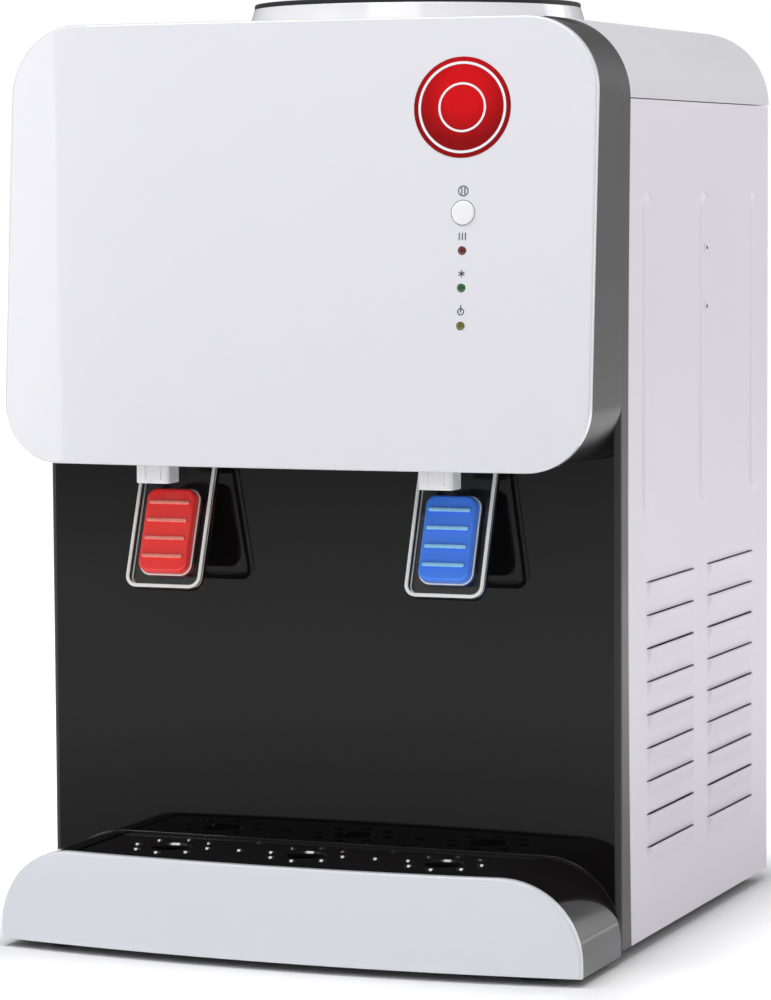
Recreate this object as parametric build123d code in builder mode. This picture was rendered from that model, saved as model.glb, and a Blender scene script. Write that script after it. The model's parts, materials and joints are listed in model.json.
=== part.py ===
from build123d import *
import os
from math import cos, radians, sin, sqrt

# Countertop water dispenser in millimetres.
# X runs left to right, Y from the front to the rear, Z up from the surface it stands on.

# Fits between pieces
seat_gap = 0.3
joint_gap = 0.2
slide_gap = 0.6
running_gap = 0.06

# Case
case_width = 300.0
side_depth = 233.7
side_height = 406.0
side_sheet = 1.0
side_front_bow = 4.3
cover_rise = 39.0
cover_wall = 2.5
shoulder_radius = 38.5
reveal = 0.5
base_sheet = 3.0
rear_recess = 3.0

# Feet
foot_height = 6.0
foot_radius = 11.0
foot_inset = 28.0
front_foot_reach = 40.0

# Side panel pressings
louvre_rows = 9
louvre_pitch = 16.2
louvre_low = 43.9
louvre_slit = 1.2
louvre_hood = 10.0
louvre_rise = 1.8
louvre_taper = 35.0
front_louvre_length = 76.5
rear_louvre_length = 80.0
front_louvre_set = 171.2
rear_louvre_set = 70.0
rib_length = 160.0
rib_width = 20.0
rib_rise = 1.2
rib_taper = 45.0
rib_low = 205.0
rib_sets = (207.5, 115.0, 27.0)

# Front frame
frame_depth = 16.7
frame_wall = 2.5
frame_edge_round = 3.0
wire_hole_radius = 12.0

# Head and control fascia
head_overhang = 0.8
head_height = 212.0
head_drop = 1.0
head_reach = 49.3
head_lean = 4.44
head_bow = 7.0
head_top_radius = 35.0
head_bottom_radius = 30.0
head_wall = 2.5
shell_inset = 0.8
fascia_thickness = 4.0
fascia_edge_round = 1.2

# Tray base, tray and grille
tray_overhang = 0.2
tray_height = 46.0
tray_drop = 2.0
tray_reach = 59.5
tray_bow = 12.0
tray_shoulder = 39.0
tray_wall = 2.5
cup_half = 104.0
cup_sheet = 2.0
grille_half = 109.0
grille_thickness = 2.5
grille_drop = 0.5
cluster_pitch = 71.5
cluster_reach = 31.0
cluster_hole_radius = 9.5
ring_radius = 18.8
ring_holes = 8
ring_hole_radius = 2.4
pair_pitch = 71.5
pair_step = 23.0

# Reheat button, indicators and control board
control_inset = 62.0
button_height = 121.1
lamp_drops = (17.6, 35.0, 52.7)
button_radius = 5.65
button_proud = 0.8
button_travel = 1.5
button_flange = 7.5
button_flange_thickness = 1.2
button_stem_radius = 2.0
button_stem_length = 3.0
lens_radius = 2.1
lens_proud = 0.4
lens_flange = 3.2
lens_flange_thickness = 1.2
board_width = 44.0
board_height = 92.0
board_sheet = 1.6
board_set = 14.0
board_drop = 26.0
post_radius = 3.0
post_inset = 4.0
switch_width = 12.0
lamp_radius = 2.0
button_spring_wall = 1.2

# Taps
tap_x = 73.1
barrel_height = 268.0
barrel_radius = 9.0
flange_radius = 13.0
flange_thickness = 3.0
shank_radius = 7.0
shank_length = 26.0
shank_gap = 0.3
nut_radius = 12.0
nut_thickness = 6.0
water_radius = 4.0
spout_reach = 37.6
spout_width = 19.5
spout_depth = 16.0
spout_bottom = 228.7
spout_bore = 5.0
spout_cap = 1.0
spout_rib = 1.6
spout_rib_proud = 0.8
spout_rib_pitch = 8.0
valve_reach = 12.0
valve_radius = 9.5
valve_wall = 2.5
valve_floor = 3.0
valve_drop = 0.8
valve_height = 26.0
stem_radius = 2.5
stem_tip_radius = 1.0
stem_tip_height = 1.2
stem_lift_arm = 12.8
stem_top = 270.0
stem_collar_radius = 6.0
stem_collar_bottom = 263.0
stem_collar_thickness = 3.0
valve_spring_inner = 3.2
valve_spring_outer = 6.0
pivot_reach = 24.0
pivot_height = 252.0
pin_radius = 2.0
hub_radius = 5.0
hub_width = 16.0
ear_thickness = 3.0
ear_round = 6.0
tap_slot_width = 46.0

# Levers
lever_press = 14.0
lever_lean = 20.0
lever_width = 40.0
lever_reach = 17.3
lever_level = 208.6
lever_below = 33.8
lever_above = 39.0
lever_plate = 2.0
lever_depth = 6.0
lever_rim = 1.8
lever_corner = 6.0
arm_width = 14.0
arm_depth = 6.0
arm_drop = 13.0
arm_rise = 1.0
pad_width = 28.0
pad_length = 42.0
pad_depth = 7.5
pad_corner = 5.0
pad_shift = -5.6
ridge_count = 4
ridge_pitch = 9.0
ridge_width = 21.0
ridge_height = 2.4
ridge_proud = 1.4

# Bottle collar, seat and probe
collar_share = 0.535
collar_rise = 10.6
collar_top_radius = 83.4
collar_base_radius = 86.5
collar_bore = 77.0
seal_thickness = 2.2
seal_round = 1.0
seat_rim = 2.7
seat_rim_height = 5.0
seat_neck_radius = 30.0
seat_neck_top = 415.0
seat_neck_bottom = 380.0
seat_wall = 2.5
seat_outlet_radius = 13.0
seat_outlet_bottom = 362.0
probe_radius = 7.0
probe_height = 46.0
probe_bore = 4.0
probe_foot_radius = 16.0
probe_foot_thickness = 2.0
probe_port = 5.0

# Cold side
shelf_drop = 28.0
shelf_sheet = 2.0
shelf_lip = 15.0
jacket_gap = 9.0
jacket_wall = 14.3
jacket_floor = 12.0
cold_height = 98.0
tank_wall = 1.2
inlet_wall = 1.5
inlet_height = 20.0
block_width = 44.0
module_width = 40.0
module_thickness = 4.0
sink_width = 90.0
sink_base = 6.0
sink_fin_depth = 14.0
sink_fin = 1.6
sink_fins = 13
sink_rise = 63.0
fan_width = 92.0
fan_depth = 20.0
fan_bore = 43.0
fan_blade_gap = 1.5
fan_blades = 7
fan_blade_sheet = 2.0
fan_blade_pitch = 35.0
fan_blade_depth = 9.0
fan_hub = 16.0
fan_hub_depth = 11.0
fan_shaft = 2.0
fan_shaft_reach = 3.4
fan_mount = 3.0
fan_struts = 3
fan_strut_width = 5.0
fan_corner = 5.0

# Hot side
hot_x = -62.0
hot_radius = 48.0
hot_height = 140.0
stand_height = 27.0
stand_ring = 8.0
stand_sheet = 3.0
stand_leg_radius = 4.0
stand_legs = 3
band_height = 20.0
band_thickness = 4.0
band_set = 4.0
hot_jacket_thickness = 12.0
hot_jacket_set = 28.0
hot_jacket_height = 104.0
thermostat_radius = 8.0
thermostat_height = 6.0
thermostat_pitch = 24.0
thermostat_set = 24.0

# Hoses
hose_radius = 5.0
hose_bore = 3.5
hose_gap = 0.4
hose_bend = 10.0
hose_run = 8.0
hot_hose_bend = 25.0
feed_x = -35.0
hot_hose_set = 40.0
cold_outlet_x = 40.0
drain_level = 21.0

# Drain, gland, switches and supply at the rear
rear_reach = 10.0
drain_tube_radius = 7.0
drain_cap_radius = 10.0
drain_flange_radius = 11.0
drain_flange_thickness = 2.0
gland_inset = 40.0
gland_level = 45.0
gland_radius = 8.0
gland_flange = 11.0
gland_bore = 4.0
gland_inside = 7.0
gland_proud = 2.5
rocker_inset = 60.0
rocker_levels = (150.0, 118.0)
rocker_radius = 6.0
rocker_width = 15.0
rocker_notch = 1.8
rocker_pin_radius = 1.2
rocker_pin_length = 1.5
rocker_set = 3.6
rocker_gap = 0.4
holder_width = 23.0
holder_height = 18.0
holder_depth = 14.0
holder_bezel = 2.5
holder_bezel_thickness = 1.5
vent_slots = 9
vent_pitch = 9.0
vent_length = 80.0
vent_width = 4.0
supply_size = (70.0, 110.0, 42.0)
supply_inset = 75.0

# Screws
screw_head_radius = 2.0
screw_head_height = 1.0
screw_shank_radius = 1.2
screw_length = 6.0
side_screw_set = 117.0
side_screw_levels = (333.6, 304.3)
rear_screw_inset = 12.0

# Places worked out from the sizes above
half_width = case_width / 2
head_width = case_width + 2 * head_overhang
tray_width = case_width + 2 * tray_overhang
gland_x = half_width - gland_inset
rocker_x = half_width - rocker_inset
supply_x = half_width - supply_inset
control_x = half_width - control_inset
total_depth = rear_reach + side_depth + frame_depth + tray_reach + tray_bow
rear_y = total_depth / 2 - rear_reach
side_front_y = rear_y - side_depth
panel_y = side_front_y - frame_depth
panel_back_y = panel_y + frame_wall
side_top = foot_height + side_height
case_top = side_top + cover_rise
head_top = case_top - head_drop
head_bottom = head_top - head_height
head_front_y = panel_y - head_reach
tray_bottom = foot_height - tray_drop
tray_top = tray_bottom + tray_height
tray_front_y = panel_y - tray_reach
cup_floor = tray_bottom + tray_wall
grille_bottom = tray_top - grille_drop - grille_thickness
base_top = foot_height + base_sheet
collar_y = rear_y - collar_share * side_depth
rear_outer_y = rear_y - rear_recess
rear_inner_y = rear_outer_y - side_sheet
inner_half = half_width - side_sheet
shelf_height = barrel_height - shelf_drop
sink_level = shelf_height + sink_rise
fan_front_y = rear_inner_y - fan_depth
sink_front_y = fan_front_y - sink_fin_depth - sink_base
module_front_y = sink_front_y - module_thickness
jacket_radius = sink_front_y - collar_y - jacket_gap
cold_radius = jacket_radius - jacket_wall
slab_margin = 25.0

os.makedirs("parts", exist_ok=True)


def save(piece, name):
    """Label a finished piece and write its STEP file."""
    piece.part.label = name
    export_step(piece.part, f"parts/{name}.step")


def front_plane(y):
    """Upright plane at y that faces the front."""
    return Plane.XZ.offset(-y)


def side_plane(side, x):
    """Upright plane at side * x that faces outwards, with side -1 on the left."""
    return Plane(origin=(side * x, 0, 0), x_dir=(0, side, 0), z_dir=(side, 0, 0))


def bow_at(half, bow, x):
    """Depth of a bowed front at x: nothing at its ends, -bow at its middle."""
    radius = (half**2 + bow**2) / (2 * bow)
    return radius - bow - sqrt(radius**2 - x**2)


def bowed_slab(plane, half, bow, near, far, height):
    """Slab along the plane's normal, between two copies of a bowed front."""
    reach = half + slab_margin
    end = bow_at(half, bow, reach)
    with BuildPart() as slab:
        with BuildSketch(plane):
            with BuildLine():
                ThreePointArc((-reach, near + end), (0, near - bow), (reach, near + end))
                Line((reach, near + end), (reach, far + end))
                ThreePointArc((reach, far + end), (0, far - bow), (-reach, far + end))
                Line((-reach, far + end), (-reach, near + end))
            make_face()
        extrude(amount=height)
    return slab.part


def arch_outline(width, bottom, top, radius, inset):
    """Draw a square-footed outline with rounded upper corners, moved in by inset."""
    low = bottom + inset
    with Locations((0, (low + top - inset) / 2)):
        Rectangle(width - 2 * inset, top - low - inset)
    fillet(vertices().group_by(Axis.Y)[-1], radius - inset)


def head_outline(inset):
    """Draw the head's outline, moved in by inset."""
    with Locations((0, (head_bottom + head_top) / 2)):
        Rectangle(head_width - 2 * inset, head_height - 2 * inset)
    fillet(vertices().group_by(Axis.Y)[-1], head_top_radius - inset)
    fillet(vertices().group_by(Axis.Y)[0], head_bottom_radius - inset)


def tray_plan(half, back_y, set_back):
    """Draw a plan shape with the tray's bowed front, set_back behind the fascia's face."""
    end = tray_front_y + bow_at(tray_width / 2, tray_bow, half) + set_back
    with BuildLine() as plan:
        Polyline((half, end), (half, back_y), (-half, back_y), (-half, end))
        ThreePointArc((-half, end), (0, tray_front_y - tray_bow + set_back), (half, end))
    make_face(plan.edges())


# Base plate
with BuildPart() as base_plate:
    base_depth = rear_inner_y - side_front_y - 2 * joint_gap
    with BuildSketch(Plane.XY.offset(foot_height)):
        with Locations((0, (rear_inner_y + side_front_y) / 2)):
            Rectangle(2 * (inner_half - joint_gap), base_depth)
    extrude(amount=base_sheet)
    with BuildSketch(Plane.XY.offset(base_top)):
        with Locations((supply_x, collar_y)):
            Rectangle(supply_size[0], supply_size[1])
    extrude(amount=base_sheet)
save(base_plate, "base_plate")

# Feet, two under the base plate and two shorter ones under the tray base
with BuildPart() as feet:
    foot_x = half_width - foot_inset
    with BuildSketch(Plane.XY):
        with Locations((-foot_x, rear_y - foot_inset), (foot_x, rear_y - foot_inset)):
            Circle(foot_radius)
    extrude(amount=foot_height)
    with BuildSketch(Plane.XY):
        with Locations((-foot_x, panel_y - front_foot_reach), (foot_x, panel_y - front_foot_reach)):
            Circle(foot_radius)
    extrude(amount=tray_bottom)
save(feet, "feet")


def side_panel(side):
    """Pressed sheet side panel with louvres, ribs and screw holes."""
    middle = foot_height + side_height / 2
    louvre_middle = foot_height + louvre_low + (louvre_rows - 1) * louvre_pitch / 2
    columns = [
        (rear_y - front_louvre_set, front_louvre_length),
        (rear_y - rear_louvre_set, rear_louvre_length),
    ]
    with BuildPart() as panel:
        with BuildSketch(side_plane(side, inner_half)):
            with BuildLine():
                Polyline(
                    (side * side_front_y, side_top),
                    (side * rear_y, side_top),
                    (side * rear_y, foot_height),
                    (side * side_front_y, foot_height),
                )
                ThreePointArc(
                    (side * side_front_y, foot_height),
                    (side * (side_front_y - side_front_bow), middle),
                    (side * side_front_y, side_top),
                )
            make_face()
        extrude(amount=side_sheet)
        with BuildSketch(side_plane(side, half_width)):
            for rib_set in rib_sets:
                with Locations((side * (rear_y - rib_set), foot_height + rib_low + rib_length / 2)):
                    SlotOverall(rib_length, rib_width, rotation=90)
        extrude(amount=rib_rise, taper=rib_taper)
        for column_y, length in columns:
            with BuildSketch(side_plane(side, half_width)):
                with Locations((side * column_y, louvre_middle - louvre_hood / 2)):
                    with GridLocations(0, louvre_pitch, 1, louvre_rows):
                        Rectangle(length, louvre_hood)
            extrude(amount=louvre_rise, taper=louvre_taper)
            with BuildSketch(side_plane(side, inner_half)):
                with Locations((side * column_y, louvre_middle)):
                    with GridLocations(0, louvre_pitch, 1, louvre_rows):
                        Rectangle(length, louvre_slit)
            extrude(amount=side_sheet + louvre_rise, mode=Mode.SUBTRACT)
        with BuildSketch(side_plane(side, inner_half)):
            for level in side_screw_levels:
                with Locations((side * (rear_y - side_screw_set), foot_height + level)):
                    Circle(screw_shank_radius)
        extrude(amount=side_sheet + rib_rise, mode=Mode.SUBTRACT)
    return panel


left_panel = side_panel(-1)
save(left_panel, "side_panel_left")
right_panel = side_panel(1)
save(right_panel, "side_panel_right")

# Top cover, an arch along the case with a closed rear end
with BuildPart() as top_cover:
    with BuildSketch(front_plane(rear_y)):
        arch_outline(case_width, side_top + reveal, case_top, shoulder_radius, 0)
    extrude(amount=side_depth)
    with BuildSketch(front_plane(rear_y - cover_wall)):
        arch_outline(case_width, side_top + reveal - cover_wall, case_top, shoulder_radius, cover_wall)
    extrude(amount=side_depth, mode=Mode.SUBTRACT)
    with BuildSketch(Plane.XY.offset(case_top - cover_wall)):
        with Locations((0, collar_y)):
            Circle(collar_bore + seat_rim)
    extrude(amount=cover_wall, mode=Mode.SUBTRACT)
save(top_cover, "top_cover")

# Rear panel with the fan's slots and the holes for what passes through it
vent_level = sink_level
rear_bottom = foot_height
with BuildPart() as rear_panel:
    with BuildSketch(front_plane(rear_outer_y)):
        with Locations((0, (rear_bottom + side_top) / 2)):
            Rectangle(2 * (inner_half - joint_gap), side_top - rear_bottom)
        with Locations((0, vent_level)):
            with GridLocations(0, vent_pitch, 1, vent_slots):
                SlotOverall(vent_length, vent_width, mode=Mode.SUBTRACT)
        with Locations((hot_x, drain_level)):
            Circle(drain_tube_radius, mode=Mode.SUBTRACT)
        with Locations((gland_x, gland_level)):
            Circle(gland_radius, mode=Mode.SUBTRACT)
        with Locations(*[(rocker_x, level) for level in rocker_levels]):
            Rectangle(holder_width, holder_height, mode=Mode.SUBTRACT)
        with Locations((0, (rear_bottom + side_top) / 2)):
            with GridLocations(
                2 * (inner_half - rear_screw_inset), side_height - 2 * rear_screw_inset, 2, 2
            ):
                Circle(screw_shank_radius, mode=Mode.SUBTRACT)
    extrude(amount=side_sheet)
save(rear_panel, "rear_panel")

# Screws in the side panels and the rear panel
with BuildPart() as case_screws:
    for side in (-1, 1):
        for face_x, radius, length in (
            (half_width + rib_rise, screw_head_radius, screw_head_height),
            (half_width + rib_rise, screw_shank_radius, -screw_length),
        ):
            with BuildSketch(side_plane(side, face_x)):
                for level in side_screw_levels:
                    with Locations((side * (rear_y - side_screw_set), foot_height + level)):
                        Circle(radius)
            extrude(amount=length)
    for radius, length in ((screw_head_radius, -screw_head_height), (screw_shank_radius, screw_length)):
        with BuildSketch(front_plane(rear_outer_y)):
            with Locations((0, (rear_bottom + side_top) / 2)):
                with GridLocations(
                    2 * (inner_half - rear_screw_inset), side_height - 2 * rear_screw_inset, 2, 2
                ):
                    Circle(radius)
        extrude(amount=length)
save(case_screws, "case_screws")

# Front frame: the flat panel with side strips that reach back to the case
with BuildPart() as front_frame:
    with BuildSketch(front_plane(panel_y)):
        arch_outline(case_width, foot_height, case_top, shoulder_radius, 0)
    extrude(amount=-frame_depth)
    fillet(faces().sort_by(Axis.Y)[0].outer_wire().edges(), frame_edge_round)
    with BuildSketch(front_plane(panel_back_y)):
        arch_outline(case_width, foot_height, case_top, shoulder_radius, frame_wall)
    extrude(amount=-frame_depth, mode=Mode.SUBTRACT)
    with BuildSketch(front_plane(panel_y)):
        with Locations((-tap_x, barrel_height), (tap_x, barrel_height)):
            Circle(shank_radius + shank_gap)
        with Locations((0, barrel_height)):
            Circle(wire_hole_radius)
    extrude(amount=-frame_wall, mode=Mode.SUBTRACT)
    with BuildSketch(Plane.YZ):
        with BuildLine():
            Line((side_front_y, side_top), (side_front_y, foot_height))
            ThreePointArc(
                (side_front_y, foot_height),
                (side_front_y - side_front_bow - joint_gap, foot_height + side_height / 2),
                (side_front_y, side_top),
            )
        make_face()
    extrude(amount=case_width, both=True, mode=Mode.SUBTRACT)
save(front_frame, "front_frame")

# Leaning plane of the head: its origin lies on the fascia's face, at the foot of its ends
lean_up = (0, sin(radians(head_lean)), cos(radians(head_lean)))
lean_plane = Plane(origin=(0, head_front_y, head_bottom), x_dir=(1, 0, 0), z_dir=lean_up)
lean_start = lean_plane.offset(-slab_margin)
lean_height = head_height + 2 * slab_margin
head_extent = head_reach + head_bow + slab_margin
head_front = bowed_slab(
    lean_start, head_width / 2, head_bow, -head_extent, fascia_thickness + joint_gap, lean_height
)
fascia_slab = bowed_slab(lean_start, head_width / 2, head_bow, 0, fascia_thickness, lean_height)

# Head shell, open towards the fascia, with a slot below each tap
with BuildPart() as head_shell:
    with BuildSketch(front_plane(panel_y)):
        head_outline(shell_inset)
    extrude(amount=head_extent)
    with BuildSketch(front_plane(panel_y)):
        head_outline(shell_inset + head_wall)
    extrude(amount=head_extent, mode=Mode.SUBTRACT)
    add(head_front, mode=Mode.SUBTRACT)
    slot_depth = spout_reach + spout_depth / 2 + spout_rib_proud + seat_gap
    with BuildSketch(Plane.XY.offset(head_bottom)):
        with Locations((-tap_x, panel_y - slot_depth / 2), (tap_x, panel_y - slot_depth / 2)):
            Rectangle(tap_slot_width, slot_depth)
    extrude(amount=shell_inset + head_wall + slide_gap, mode=Mode.SUBTRACT)
save(head_shell, "head_shell")


def control_plane(x, height):
    """Plane on the fascia's face at x, height above the head's foot, facing outwards."""
    surface = lean_plane.from_local_coords((x, bow_at(head_width / 2, head_bow, x), height))
    facing = (0, -cos(radians(head_lean)), sin(radians(head_lean)))
    return Plane(origin=surface, x_dir=(1, 0, 0), z_dir=facing)


button_plane = control_plane(control_x, button_height)
lamp_planes = [control_plane(control_x, button_height - drop) for drop in lamp_drops]
board_plane = control_plane(control_x, button_height - board_drop)
post_sets = [
    (sx * (board_width / 2 - post_inset), sy * (board_height / 2 - post_inset))
    for sx in (-1, 1)
    for sy in (-1, 1)
]

# Control fascia with its button and lamp holes and four posts behind for the board
with BuildPart() as control_fascia:
    with BuildSketch(front_plane(panel_y)):
        head_outline(0)
    extrude(amount=head_extent)
    add(fascia_slab, mode=Mode.INTERSECT)
    fillet(faces().sort_by(Axis.Y)[0].outer_wire().edges(), fascia_edge_round)
    with BuildSketch(board_plane.offset(-board_set)):
        with Locations(*post_sets):
            Circle(post_radius)
    extrude(amount=board_set - fascia_thickness / 2)
    with BuildSketch(button_plane.offset(-2 * fascia_thickness)):
        Circle(button_radius + seat_gap)
    extrude(amount=3 * fascia_thickness, mode=Mode.SUBTRACT)
    for plane in lamp_planes:
        with BuildSketch(plane.offset(-2 * fascia_thickness)):
            Circle(lens_radius)
        extrude(amount=3 * fascia_thickness, mode=Mode.SUBTRACT)
save(control_fascia, "control_fascia")

# Reheat button: a cap through the fascia, a flange behind it and a stem to the switch
flange_front = fascia_thickness + seat_gap + slide_gap
flange_back = flange_front + button_flange_thickness
stem_end = flange_back + button_stem_length
with BuildPart() as reheat_button:
    with BuildSketch(button_plane.offset(button_proud)):
        Circle(button_radius)
    extrude(amount=-(button_proud + flange_back))
    with BuildSketch(button_plane.offset(-flange_front)):
        Circle(button_flange)
    extrude(amount=-button_flange_thickness)
    with BuildSketch(button_plane.offset(-flange_back)):
        Circle(button_stem_radius)
    extrude(amount=-button_stem_length)
save(reheat_button, "reheat_button")

# Indicator lenses, each held by a flange behind the fascia
for lens_name, plane in zip(("heating_lens", "cooling_lens", "power_lens"), lamp_planes):
    with BuildPart() as lens:
        with BuildSketch(plane.offset(lens_proud)):
            Circle(lens_radius)
        extrude(amount=-(lens_proud + fascia_thickness + seat_gap + lens_flange_thickness))
        with BuildSketch(plane.offset(-fascia_thickness - seat_gap)):
            Circle(lens_flange)
        extrude(amount=-lens_flange_thickness)
    save(lens, lens_name)

# Control board with the switch behind the button and a lamp behind each lens
switch_top = stem_end + button_travel + seat_gap
with BuildPart() as control_board:
    with BuildSketch(board_plane.offset(-board_set)):
        Rectangle(board_width, board_height)
    extrude(amount=-board_sheet)
    with BuildSketch(button_plane.offset(-switch_top)):
        Rectangle(switch_width, switch_width)
    extrude(amount=-(board_set - switch_top))
    for plane in lamp_planes:
        lamp_front = fascia_thickness + seat_gap + lens_flange_thickness + seat_gap
        with BuildSketch(plane.offset(-lamp_front)):
            Circle(lamp_radius)
        extrude(amount=-(board_set - lamp_front))
save(control_board, "control_board")

# Button spring, round the stem on top of the switch, at its pressed length
with BuildPart() as button_spring:
    spring_front = flange_back + button_travel + seat_gap
    spring_inner = button_stem_radius + slide_gap
    with BuildSketch(button_plane.offset(-spring_front)):
        Circle(spring_inner + button_spring_wall)
        Circle(spring_inner, mode=Mode.SUBTRACT)
    extrude(amount=-(switch_top - spring_front))
save(button_spring, "button_spring")

# Tray base: an arched shell with a cup for the tray, behind a bowed front wall
tray_local = Plane(origin=(0, tray_front_y, tray_bottom - slab_margin), x_dir=(1, 0, 0), z_dir=(0, 0, 1))
tray_extent = tray_reach + tray_bow + slab_margin
slab_height = tray_height + 2 * slab_margin
tray_set = fascia_thickness + joint_gap
tray_front = bowed_slab(tray_local, tray_width / 2, tray_bow, -tray_extent, tray_set, slab_height)
core_front = bowed_slab(tray_local, tray_width / 2, tray_bow, -tray_extent, tray_set + tray_wall, slab_height)
tray_fascia_slab = bowed_slab(tray_local, tray_width / 2, tray_bow, 0, fascia_thickness, slab_height)

with BuildPart() as tray_core:
    with BuildSketch(front_plane(panel_y)):
        arch_outline(tray_width, tray_bottom - 2 * tray_wall, tray_top, tray_shoulder, tray_wall)
    extrude(amount=tray_extent)
    add(core_front, mode=Mode.SUBTRACT)

with BuildPart() as tray_base:
    with BuildSketch(front_plane(panel_y)):
        arch_outline(tray_width, tray_bottom, tray_top, tray_shoulder, 0)
    extrude(amount=tray_extent)
    add(tray_front, mode=Mode.SUBTRACT)
    add(tray_core.part, mode=Mode.SUBTRACT)
    with BuildSketch(Plane.XY.offset(tray_bottom)):
        tray_plan(cup_half + tray_wall, panel_y, tray_set)
    extrude(amount=tray_height - grille_drop - grille_thickness - seat_gap)
    with BuildSketch(Plane.XY.offset(cup_floor)):
        tray_plan(cup_half, panel_y - tray_wall, tray_set + tray_wall)
    extrude(amount=tray_height, mode=Mode.SUBTRACT)
    with BuildSketch(Plane.XY.offset(grille_bottom - seat_gap)):
        tray_plan(grille_half + slide_gap, panel_y, tray_set + tray_wall)
    extrude(amount=tray_height, mode=Mode.SUBTRACT)
    with BuildSketch(Plane.XY.offset(tray_bottom)):
        tray_plan(tray_width / 2 - tray_wall / 2, panel_y, tray_set)
    extrude(amount=tray_wall)
save(tray_base, "tray_base")

# Tray fascia, a bowed white front
with BuildPart() as tray_fascia:
    with BuildSketch(front_plane(panel_y)):
        arch_outline(tray_width, tray_bottom, tray_top, tray_shoulder, 0)
    extrude(amount=tray_extent)
    add(tray_fascia_slab, mode=Mode.INTERSECT)
    fillet(faces().sort_by(Axis.Y)[0].outer_wire().edges(), fascia_edge_round)
save(tray_fascia, "tray_fascia")

# Drip tray, a loose cup in the tray base
with BuildPart() as drip_tray:
    tray_inside = tray_set + tray_wall + slide_gap
    with BuildSketch(Plane.XY.offset(cup_floor + seat_gap)):
        tray_plan(cup_half - slide_gap, panel_y - tray_wall - slide_gap, tray_inside)
    extrude(amount=grille_bottom - cup_floor - 2 * seat_gap)
    with BuildSketch(Plane.XY.offset(cup_floor + seat_gap + cup_sheet)):
        tray_plan(
            cup_half - slide_gap - cup_sheet,
            panel_y - tray_wall - slide_gap - cup_sheet,
            tray_inside + cup_sheet,
        )
    extrude(amount=tray_height, mode=Mode.SUBTRACT)
save(drip_tray, "drip_tray")

# Drip grille with three clusters of round holes and pairs of small holes between them
with BuildPart() as drip_grille:
    cluster_y = panel_y - cluster_reach
    with BuildSketch(Plane.XY.offset(grille_bottom)):
        tray_plan(grille_half, panel_y - slide_gap, tray_set + tray_wall + slide_gap)
        with Locations((0, cluster_y)):
            with GridLocations(cluster_pitch, 0, 3, 1):
                Circle(cluster_hole_radius, mode=Mode.SUBTRACT)
                with PolarLocations(ring_radius, ring_holes):
                    Circle(ring_hole_radius, mode=Mode.SUBTRACT)
        for step_y in (cluster_y, cluster_y + pair_step):
            with Locations((0, step_y)):
                with GridLocations(pair_pitch, 0, 2, 1):
                    Circle(ring_hole_radius, mode=Mode.SUBTRACT)
    extrude(amount=grille_thickness)
save(drip_grille, "drip_grille")

# Places of a tap's pieces
valve_y = panel_y - valve_reach
spout_y = panel_y - spout_reach
pivot_y = panel_y - pivot_reach
chamber_bottom = barrel_height - barrel_radius - valve_drop
chamber_top = chamber_bottom + valve_height
arm_top = pivot_height + arm_rise
stem_bottom = arm_top + seat_gap
lever_facing = (0, -cos(radians(lever_lean)), sin(radians(lever_lean)))


def tap_body(x):
    """White tap: barrel on the panel, valve chamber, spout and ears for the lever's pin."""
    ear_x = hub_width / 2 + seat_gap
    with BuildPart() as body:
        with BuildSketch(front_plane(panel_y)):
            with Locations((x, barrel_height)):
                Circle(barrel_radius)
        extrude(amount=spout_reach + spout_depth / 2 - spout_cap)
        with BuildSketch(front_plane(panel_y)):
            with Locations((x, barrel_height)):
                Circle(flange_radius)
        extrude(amount=flange_thickness)
        with BuildSketch(front_plane(panel_y)):
            with Locations((x, barrel_height)):
                Circle(shank_radius)
        extrude(amount=-shank_length)
        with BuildSketch(Plane.XY.offset(chamber_bottom)):
            with Locations((x, valve_y)):
                Circle(valve_radius)
        extrude(amount=valve_height)
        with BuildSketch(Plane.XY.offset(spout_bottom)):
            with Locations((x, spout_y)):
                Rectangle(spout_width, spout_depth)
            with Locations((x, spout_y - spout_depth / 2)):
                with GridLocations(spout_rib_pitch, 0, 2, 1):
                    Rectangle(spout_rib, 2 * spout_rib_proud)
        extrude(amount=barrel_height - spout_bottom)
        for side in (-1, 1):
            with BuildSketch(Plane.YZ.offset(x + side * ear_x)):
                with Locations((pivot_y, pivot_height)):
                    Circle(ear_round)
                with Locations((pivot_y, (pivot_height + barrel_height) / 2)):
                    Rectangle(2 * ear_round, barrel_height - pivot_height)
                with Locations((pivot_y, pivot_height)):
                    Circle(pin_radius, mode=Mode.SUBTRACT)
            extrude(amount=side * ear_thickness)
            with BuildSketch(Plane.YZ.offset(x)):
                with Locations((pivot_y, barrel_height)):
                    Rectangle(2 * ear_round, barrel_radius)
            extrude(amount=side * (ear_x + ear_thickness))
        with BuildSketch(Plane.XY.offset(chamber_bottom)):
            with Locations((x, valve_y)):
                Circle(stem_radius + running_gap)
        extrude(amount=valve_floor, mode=Mode.SUBTRACT)
        with BuildSketch(Plane.XY.offset(chamber_bottom + valve_floor)):
            with Locations((x, valve_y)):
                Circle(valve_radius - valve_wall)
        extrude(amount=valve_height - 2 * valve_floor, mode=Mode.SUBTRACT)
        with BuildSketch(front_plane(panel_y + shank_length)):
            with Locations((x, barrel_height)):
                Circle(water_radius)
        extrude(amount=shank_length + spout_reach, mode=Mode.SUBTRACT)
        with BuildSketch(Plane.XY.offset(spout_bottom)):
            with Locations((x, spout_y)):
                Circle(spout_bore)
        extrude(amount=barrel_height - spout_bottom, mode=Mode.SUBTRACT)
    return body


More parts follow.
